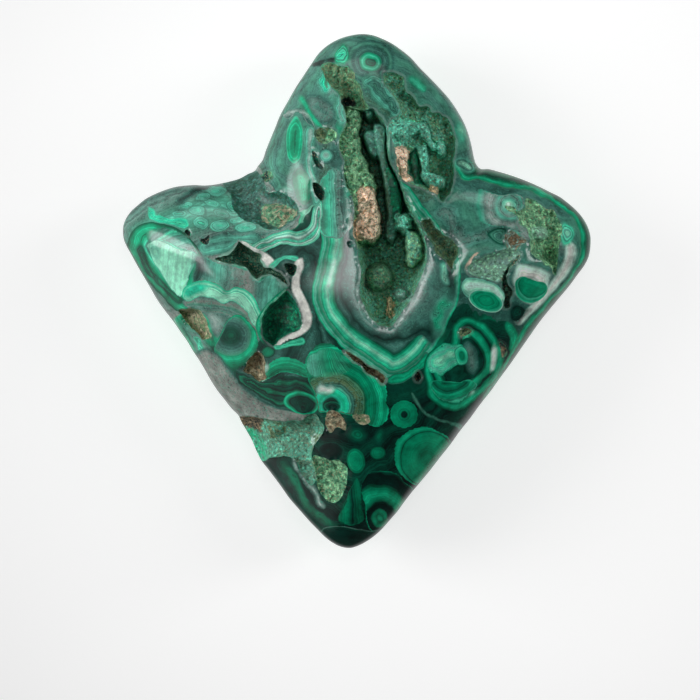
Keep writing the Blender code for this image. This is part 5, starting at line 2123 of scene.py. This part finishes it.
    def growth_layer(self) -> bpy.types.NodeTree:
        """One growth over those under it: its colour, its bands' coordinate and contrast, and what is covered.

        The lowest growth lies on nothing, so the colours and numbers are already multiplied by the cover.

        Returns:
            The node group.
        """
        kinds = {"Colour": "Color", "Band": "Float", "Contrast": "Float", "Cover": "Float"}
        numbers = ("Share", "Bands", "Start", "Contrast", "Softness")
        graph = Graph.group(
            "growth layer",
            {f"Under {label}": kind for label, kind in kinds.items()} | {"Colour": "Color"}
            | dict.fromkeys(numbers, "Float"),
            kinds,
        )
        inputs = graph.entry.outputs
        mask = graph.math("DIVIDE", inputs["Share"], inputs["Softness"], clamp=True)
        band = graph.math("MULTIPLY_ADD", inputs["Share"], inputs["Bands"], inputs["Start"])
        return graph.give(
            Colour=graph.mix(mask, inputs["Under Colour"], inputs["Colour"]),
            Band=graph.blend(mask, inputs["Under Band"], band),
            Contrast=graph.blend(mask, inputs["Under Contrast"], inputs["Contrast"]),
            Cover=graph.blend(mask, inputs["Under Cover"], 1.0),
        )

    def fine_bands(self) -> bpy.types.NodeTree:
        """Hairline bands across a growth, darker and paler than its colour.

        Returns:
            The node group.
        """
        graph = Graph.group(
            "fine bands", {"Colour": "Color", "Band": "Float", "Contrast": "Float", "Place": "Vector"},
            {"Colour": "Color"},
        )
        inputs = graph.entry.outputs
        wander = graph.noise(inputs["Place"], self.hairline_wander)
        along = graph.math("MULTIPLY_ADD", wander, self.hairline_push, inputs["Band"])
        lines = graph.node("TexNoise", {"noise_dimensions": "1D"}, W=along, Scale=self.hairline.scale,
                           Detail=self.hairline.octaves, Roughness=self.hairline.rough)
        centred = graph.math("SUBTRACT", lines.outputs["Fac"], 0.5)
        level = graph.math("MULTIPLY", centred, self.hairline_strength)
        strength = graph.math("MULTIPLY", level, inputs["Contrast"])
        darker = graph.mix(graph.math("MULTIPLY", strength, -1.0, clamp=True), inputs["Colour"], INK.value)
        lit = graph.mix(1.0, darker, self.pale_line_gain, "MULTIPLY")
        lit = graph.mix(1.0, lit, self.pale_line_lift, "ADD")
        share = graph.math("MULTIPLY", strength, self.pale_line_share, clamp=True)
        return graph.give(Colour=graph.mix(share, darker, lit))

    def mottle(self) -> bpy.types.NodeTree:
        """The clouding of the polished stone, with fine green and dark flecks where it is grey.

        Returns:
            The node group.
        """
        graph = Graph.group("stone mottle", {"Colour": "Color", "Place": "Vector"}, {"Colour": "Color"})
        inputs = graph.entry.outputs
        place = inputs["Place"]
        cloud = graph.math("MULTIPLY_ADD", graph.noise(place, self.cloud), self.cloud_strength, self.cloud_base)
        clouded = graph.mix(1.0, inputs["Colour"], cloud, "MULTIPLY")
        parts = graph.node("SeparateColor", {"mode": "HSV"}, Color=clouded)
        dull = graph.step(parts.outputs[1], *self.grey_saturation)
        dim = graph.step(parts.outputs[2], *self.grey_brightness)
        grey = graph.math("MULTIPLY", dull, dim)
        flecked = clouded
        for noise, edge, share, shade in (
            (self.green_fleck, self.green_fleck_edge, self.green_fleck_share, TURQUOISE),
            (self.dark_fleck, self.dark_fleck_edge, self.dark_fleck_share, INK),
        ):
            fleck = graph.math("MULTIPLY", graph.step(graph.noise(place, noise), *edge), share)
            flecked = graph.mix(graph.math("MULTIPLY", fleck, grey), flecked, shade.value)
        return graph.give(Colour=flecked)

    def rim_light(self) -> bpy.types.NodeTree:
        """The pale seam that the polish shows along a hollow's rim.

        Returns:
            The node group.
        """
        graph = Graph.group(
            "rim seam", {"Colour": "Color", "Edge": "Float", "Strength": "Float", "Place": "Vector"},
            {"Colour": "Color"},
        )
        inputs = graph.entry.outputs
        wander = graph.math("SUBTRACT", graph.noise(inputs["Place"], self.seam_wander), 0.5)
        edge = graph.math("MULTIPLY_ADD", wander, self.seam_wander_mm, inputs["Edge"])
        near = graph.math("MULTIPLY", graph.step(edge, *self.seam_outer_mm), graph.step(edge, *self.seam_inner_mm))
        seam = graph.math("MULTIPLY", near, inputs["Strength"], clamp=True)
        share = graph.math("MULTIPLY", seam, self.seam_share)
        return graph.give(Colour=graph.mix(share, inputs["Colour"], MIST.value))

    def crust(self) -> bpy.types.NodeTree:
        """The hollows' crusts: a mottled ground with rusty specks, with painted shade and painted highlights.

        The painted shade darkens the grain's low spots, the crevices between the knobs and, towards black, the
        deepest hollows; the painted highlights brighten the grain's high spots on the crystals.

        Returns:
            The node group.
        """
        numbers = ("Knob", "Sunk", "Grain", "Speckle", "Rust")
        graph = Graph.group(
            "crystal crust",
            {"Tint": "Color", "Fleck": "Color", "Place": "Vector"} | dict.fromkeys(numbers, "Float"),
            {"Colour": "Color", "Height": "Float"},
        )
        inputs = graph.entry.outputs
        place = inputs["Place"]
        grain = graph.noise(place, Noise(inputs["Grain"], self.grain_octaves, self.grain_rough))
        specks = graph.noise(place, Noise(inputs["Speckle"]))
        broad = graph.step(graph.noise(place, self.tint_noise), *self.tint_edge)
        mottled = graph.mix(broad, inputs["Tint"], inputs["Fleck"])
        mottled = graph.mix(1.0, mottled, self.crust_gain, "MULTIPLY")
        # Painted shade: a darker copy of the crust colour, used where the grain is low and between the knobs
        pit_shade = graph.mix(1.0, mottled, self.pit_shade_gain, "MULTIPLY")
        shaded = graph.mix(graph.step(grain, *self.pit_shade_edge), mottled, pit_shade)
        crevice_shade = graph.math("MULTIPLY", graph.step(inputs["Knob"], *self.crevice_shade_edge), self.crevice_shade_share)
        shaded = graph.mix(crevice_shade, shaded, pit_shade)
        # Painted highlight: a brighter copy of the crust colour, used where the grain is high
        tip_highlight = graph.mix(1.0, shaded, self.tip_highlight_gain, "MULTIPLY")
        lit = graph.mix(graph.step(grain, *self.tip_edge), shaded, tip_highlight)
        rust = graph.math("MULTIPLY", graph.step(specks, *self.rust_edge), inputs["Rust"])
        rusty = graph.mix(rust, lit, BEIGE.value)
        # Painted shade towards black in the deepest hollows
        deep_shade = graph.math("MULTIPLY", graph.step(inputs["Sunk"], *self.deep_shade_mm), self.deep_shade_share)
        return graph.give(Colour=graph.mix(deep_shade, rusty, BLACK.value), Height=grain)

    def grown(self, graph: Graph) -> dict[str, Socket]:
        """All the growths, each laid over those before it.

        Args:
            graph: the material's graph.

        Returns:
            The colour, the bands' coordinate and contrast, and how much is covered, all multiplied by the cover.
        """
        layer = self.growth_layer()
        grown: dict[str, object] = {"Colour": NONE.value, "Band": 0.0, "Contrast": 0.0, "Cover": 0.0}
        for number, growth in enumerate(GROWTHS):
            # A trace of the cover below makes each layer wait for it, because a shader holds few values at once
            share = graph.math("MULTIPLY_ADD", grown["Cover"], self.cover_trace, graph.stored(growth.attribute))
            under = {f"Under_{label}": value for label, value in grown.items()}
            placed = graph.use(
                layer, **under, Share=share, Colour=graph.ramp(share, growth.stops), Bands=growth.bands,
                Start=self.growth_start * number, Contrast=growth.contrast, Softness=growth.soft,
            )
            grown = {label: placed.outputs[label] for label in grown}
        return grown

    def material(self) -> bpy.types.Material:
        """The material, with its groups joined and fed from the mesh's own values.

        Returns:
            The material.
        """
        made = bpy.data.materials.new("polished malachite")
        made.use_nodes = True
        made.node_tree.nodes.clear()
        graph = Graph(made.node_tree)
        grown = self.grown(graph)
        place = graph.node("TexCoord").outputs["Object"]
        ground = graph.use(self.nodules(), Place=place, Scale=self.nodule_scale, Bands=self.nodule_bands)
        bare = graph.math("SUBTRACT", 1.0, grown["Cover"])
        colour = graph.mix(1.0, grown["Colour"], graph.mix(bare, NONE.value, ground.outputs["Colour"]), "ADD")
        band = graph.math("MULTIPLY_ADD", bare, ground.outputs["Band"], grown["Band"])
        contrast = graph.math("MULTIPLY_ADD", bare, self.nodule_contrast, grown["Contrast"])
        banded = graph.use(self.fine_bands(), Colour=colour, Band=band, Contrast=contrast, Place=place)
        clouded = graph.use(self.mottle(), Colour=banded.outputs[0], Place=place)
        edge = graph.stored("edge_mm")
        seamed = graph.use(self.rim_light(), Colour=clouded.outputs[0], Edge=edge,
                           Strength=graph.stored("rim_light"), Place=place)
        rust = graph.math("MULTIPLY_ADD", graph.stored("gloss"), -self.rust_lost_to_gloss, self.rust, clamp=True)
        crust = graph.use(
            self.crust(), Rust=rust, Tint=graph.stored("tint", "Color"), Fleck=graph.stored("fleck", "Color"),
            Knob=graph.stored("knob"), Sunk=graph.stored("sunk_mm"), Place=place, Grain=self.grain_scale,
            Speckle=self.speckle_scale,
        )
        hollow = graph.step(edge, *self.hollow_edge_mm)
        dull = graph.math("MULTIPLY", hollow, graph.math("SUBTRACT", 1.0, graph.stored("gloss")))
        haze = graph.math("MULTIPLY_ADD", graph.noise(place, self.haze), self.polish_haze, self.polish)
        shader = graph.node("BsdfPrincipled")
        graph.feed(shader.inputs["Base Color"], graph.mix(hollow, seamed.outputs[0], crust.outputs["Colour"]))
        graph.feed(shader.inputs["Roughness"], graph.blend(dull, haze, self.crust_roughness))
        shader.inputs["IOR"].default_value = self.index
        bump = graph.node("Bump", None, Height=crust.outputs["Height"], Distance=self.crust_depth, Strength=dull)
        graph.feed(shader.inputs["Normal"], bump.outputs["Normal"])
        end = graph.node("OutputMaterial")
        graph.feed(end.inputs["Surface"], shader.outputs["BSDF"])
        return made


@dataclass(frozen=True)
class Softbox:
    """A rectangular studio light: its place, what it points at, its size in metres and its power in watts."""

    name: str
    place: tuple[float, float, float]
    aim: tuple[float, float, float]
    size: tuple[float, float]
    power: float

    def hang(self) -> bpy.types.Object:
        """Puts the light in the scene.

        Returns:
            The light.
        """
        light = bpy.data.lights.new(self.name, "AREA")
        light.shape = "RECTANGLE"
        light.size, light.size_y = self.size
        light.energy = self.power
        made = bpy.data.objects.new(self.name, light)
        made.location = self.place
        made.rotation_euler = (Vector(self.aim) - Vector(self.place)).to_track_quat("-Z", "Y").to_euler()
        made.visible_camera = False
        bpy.context.scene.collection.objects.link(made)
        return made


@dataclass(frozen=True)
class Studio:
    """A pale table under soft lights, with the camera straight above the stone.

    The table glows a little, more along glow_slope, which is a change for each metre, and less by glow_fall for
    each square metre of the distance's square. The room's brightness is `room` towards its window, `under` from
    straight below and `shade` elsewhere. The camera's sensor is in mm and the picture's width in pixels.
    """

    sheet: PlanSheet
    table: float = 3.0
    paper: float = 0.60
    paper_grain: float = 0.02
    paper_noise: Noise = Noise(900.0)
    paper_roughness: float = 0.9
    paper_gloss: float = 0.1
    glow: float = 0.67
    glow_slope: tuple[float, float, float] = (0.55, 0.2, 0.0)
    glow_fall: float = 9.5
    room: float = 0.30
    under: float = 0.40
    shade: float = 0.03
    window: tuple[float, float, float] = (-0.94, 0.30, 0.15)
    window_edge: Pair = (0.10, 0.45)
    under_edge: Pair = (-0.72, -1.0)
    sensor: float = 36.0
    picture: int = 700
    softboxes: tuple[Softbox, ...] = (
        Softbox("overhead panel", (0.07, 0.22, 1.25), (0.0, 0.0, 0.0), (0.24, 0.24), 1.2),
        Softbox("back panel", (-0.1, 1.1, 0.24), (0.0, 0.0, 0.0), (1.2, 0.36), 1.6),
        Softbox("left softbox", (-0.80, 0.12, 0.40), (0.0, 0.0, 0.02), (0.45, 0.70), 4.8),
        Softbox("right softbox", (0.75, 0.20, 0.45), (0.0, 0.0, 0.02), (0.25, 0.6), 2.4),
    )

    def table_material(self) -> bpy.types.Material:
        """White paper with a faint grain, lit a little from below.

        Returns:
            The material.
        """
        made = bpy.data.materials.new("table paper")
        made.use_nodes = True
        graph = Graph(made.node_tree)
        shader = made.node_tree.nodes["Principled BSDF"]
        place = graph.node("TexCoord").outputs["Object"]
        grain = graph.noise(place, self.paper_noise)
        level = graph.math("MULTIPLY_ADD", grain, self.paper_grain, self.paper - self.paper_grain / 2)
        colour = graph.node("CombineColor", None, Red=level, Green=level, Blue=level)
        graph.feed(shader.inputs["Base Color"], colour.outputs["Color"])
        shader.inputs["Roughness"].default_value = self.paper_roughness
        shader.inputs["Specular IOR Level"].default_value = self.paper_gloss
        shader.inputs["Emission Color"].default_value = (1.0, 1.0, 1.0, 1.0)
        rising = graph.math("ADD", graph.dot(place, self.glow_slope), self.glow)
        lost = graph.math("MULTIPLY_ADD", graph.dot(place, place), -self.glow_fall, rising)
        graph.feed(shader.inputs["Emission Strength"], graph.math("MAXIMUM", lost, 0.0))
        return made

    def room_light(self) -> bpy.types.World:
        """A dim room that is brighter towards its window at the left, and straight below.

        Returns:
            The world.
        """
        made = bpy.data.worlds.new("studio")
        made.use_nodes = True
        graph = Graph(made.node_tree)
        direction = graph.node("TexCoord").outputs["Generated"]
        bright = graph.step(graph.dot(direction, self.window), *self.window_edge)
        height = graph.node("SeparateXYZ", None, Vector=direction).outputs["Z"]
        under = graph.math("MULTIPLY", graph.step(height, *self.under_edge), self.under)
        strength = graph.math("MAXIMUM", graph.blend(bright, self.shade, self.room), under)
        background = made.node_tree.nodes["Background"]
        graph.feed(background.inputs["Strength"], strength)
        background.inputs["Color"].default_value = (1.0, 1.0, 1.0, 1.0)
        return made

    def build(self) -> None:
        """Lays the table, hangs the lights and sets the camera."""
        bpy.ops.object.select_all(action="DESELECT")
        bpy.ops.mesh.primitive_plane_add(size=self.table)
        floor = bpy.context.object
        floor.name = "table"
        floor.visible_glossy = False
        floor.data.materials.append(self.table_material())
        for softbox in self.softboxes:
            softbox.hang()
        bpy.context.scene.world = self.room_light()
        bpy.context.scene.view_settings.view_transform = "Standard"
        camera = bpy.data.cameras.new("camera")
        camera.sensor_width = self.sensor
        camera.lens = self.sensor * self.sheet.eye_height / (self.picture * self.sheet.table_square)
        eye = bpy.data.objects.new("camera", camera)
        eye.location = (*self.sheet.eye_place, self.sheet.eye_height)
        bpy.context.scene.collection.objects.link(eye)
        bpy.context.scene.camera = eye


def main() -> None:
    """Builds the stone and the studio, and logs the stone's points, faces and growths."""
    logging.basicConfig(level=logging.INFO, format="%(name)s: %(message)s")
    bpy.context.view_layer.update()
    low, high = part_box(NODE)
    sheet = PlanSheet((high[1] - low[1]) / PLAN_LENGTH, GIRDLE)
    crown = Crown(Dome(sheet, HEIGHT))
    stone = Stone(crown).build()
    stone.data.materials.clear()
    stone.data.materials.append(MalachiteFinish().material())
    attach(stone, "root")
    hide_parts(NODE)
    mesh = stone.data
    log.info("stone: %d points, %d faces, %d growths", len(mesh.vertices), len(mesh.polygons), len(GROWTHS))
    Studio(sheet).build()
    log.info("studio: table, lights and camera")


if __name__ == "__main__":
    main()
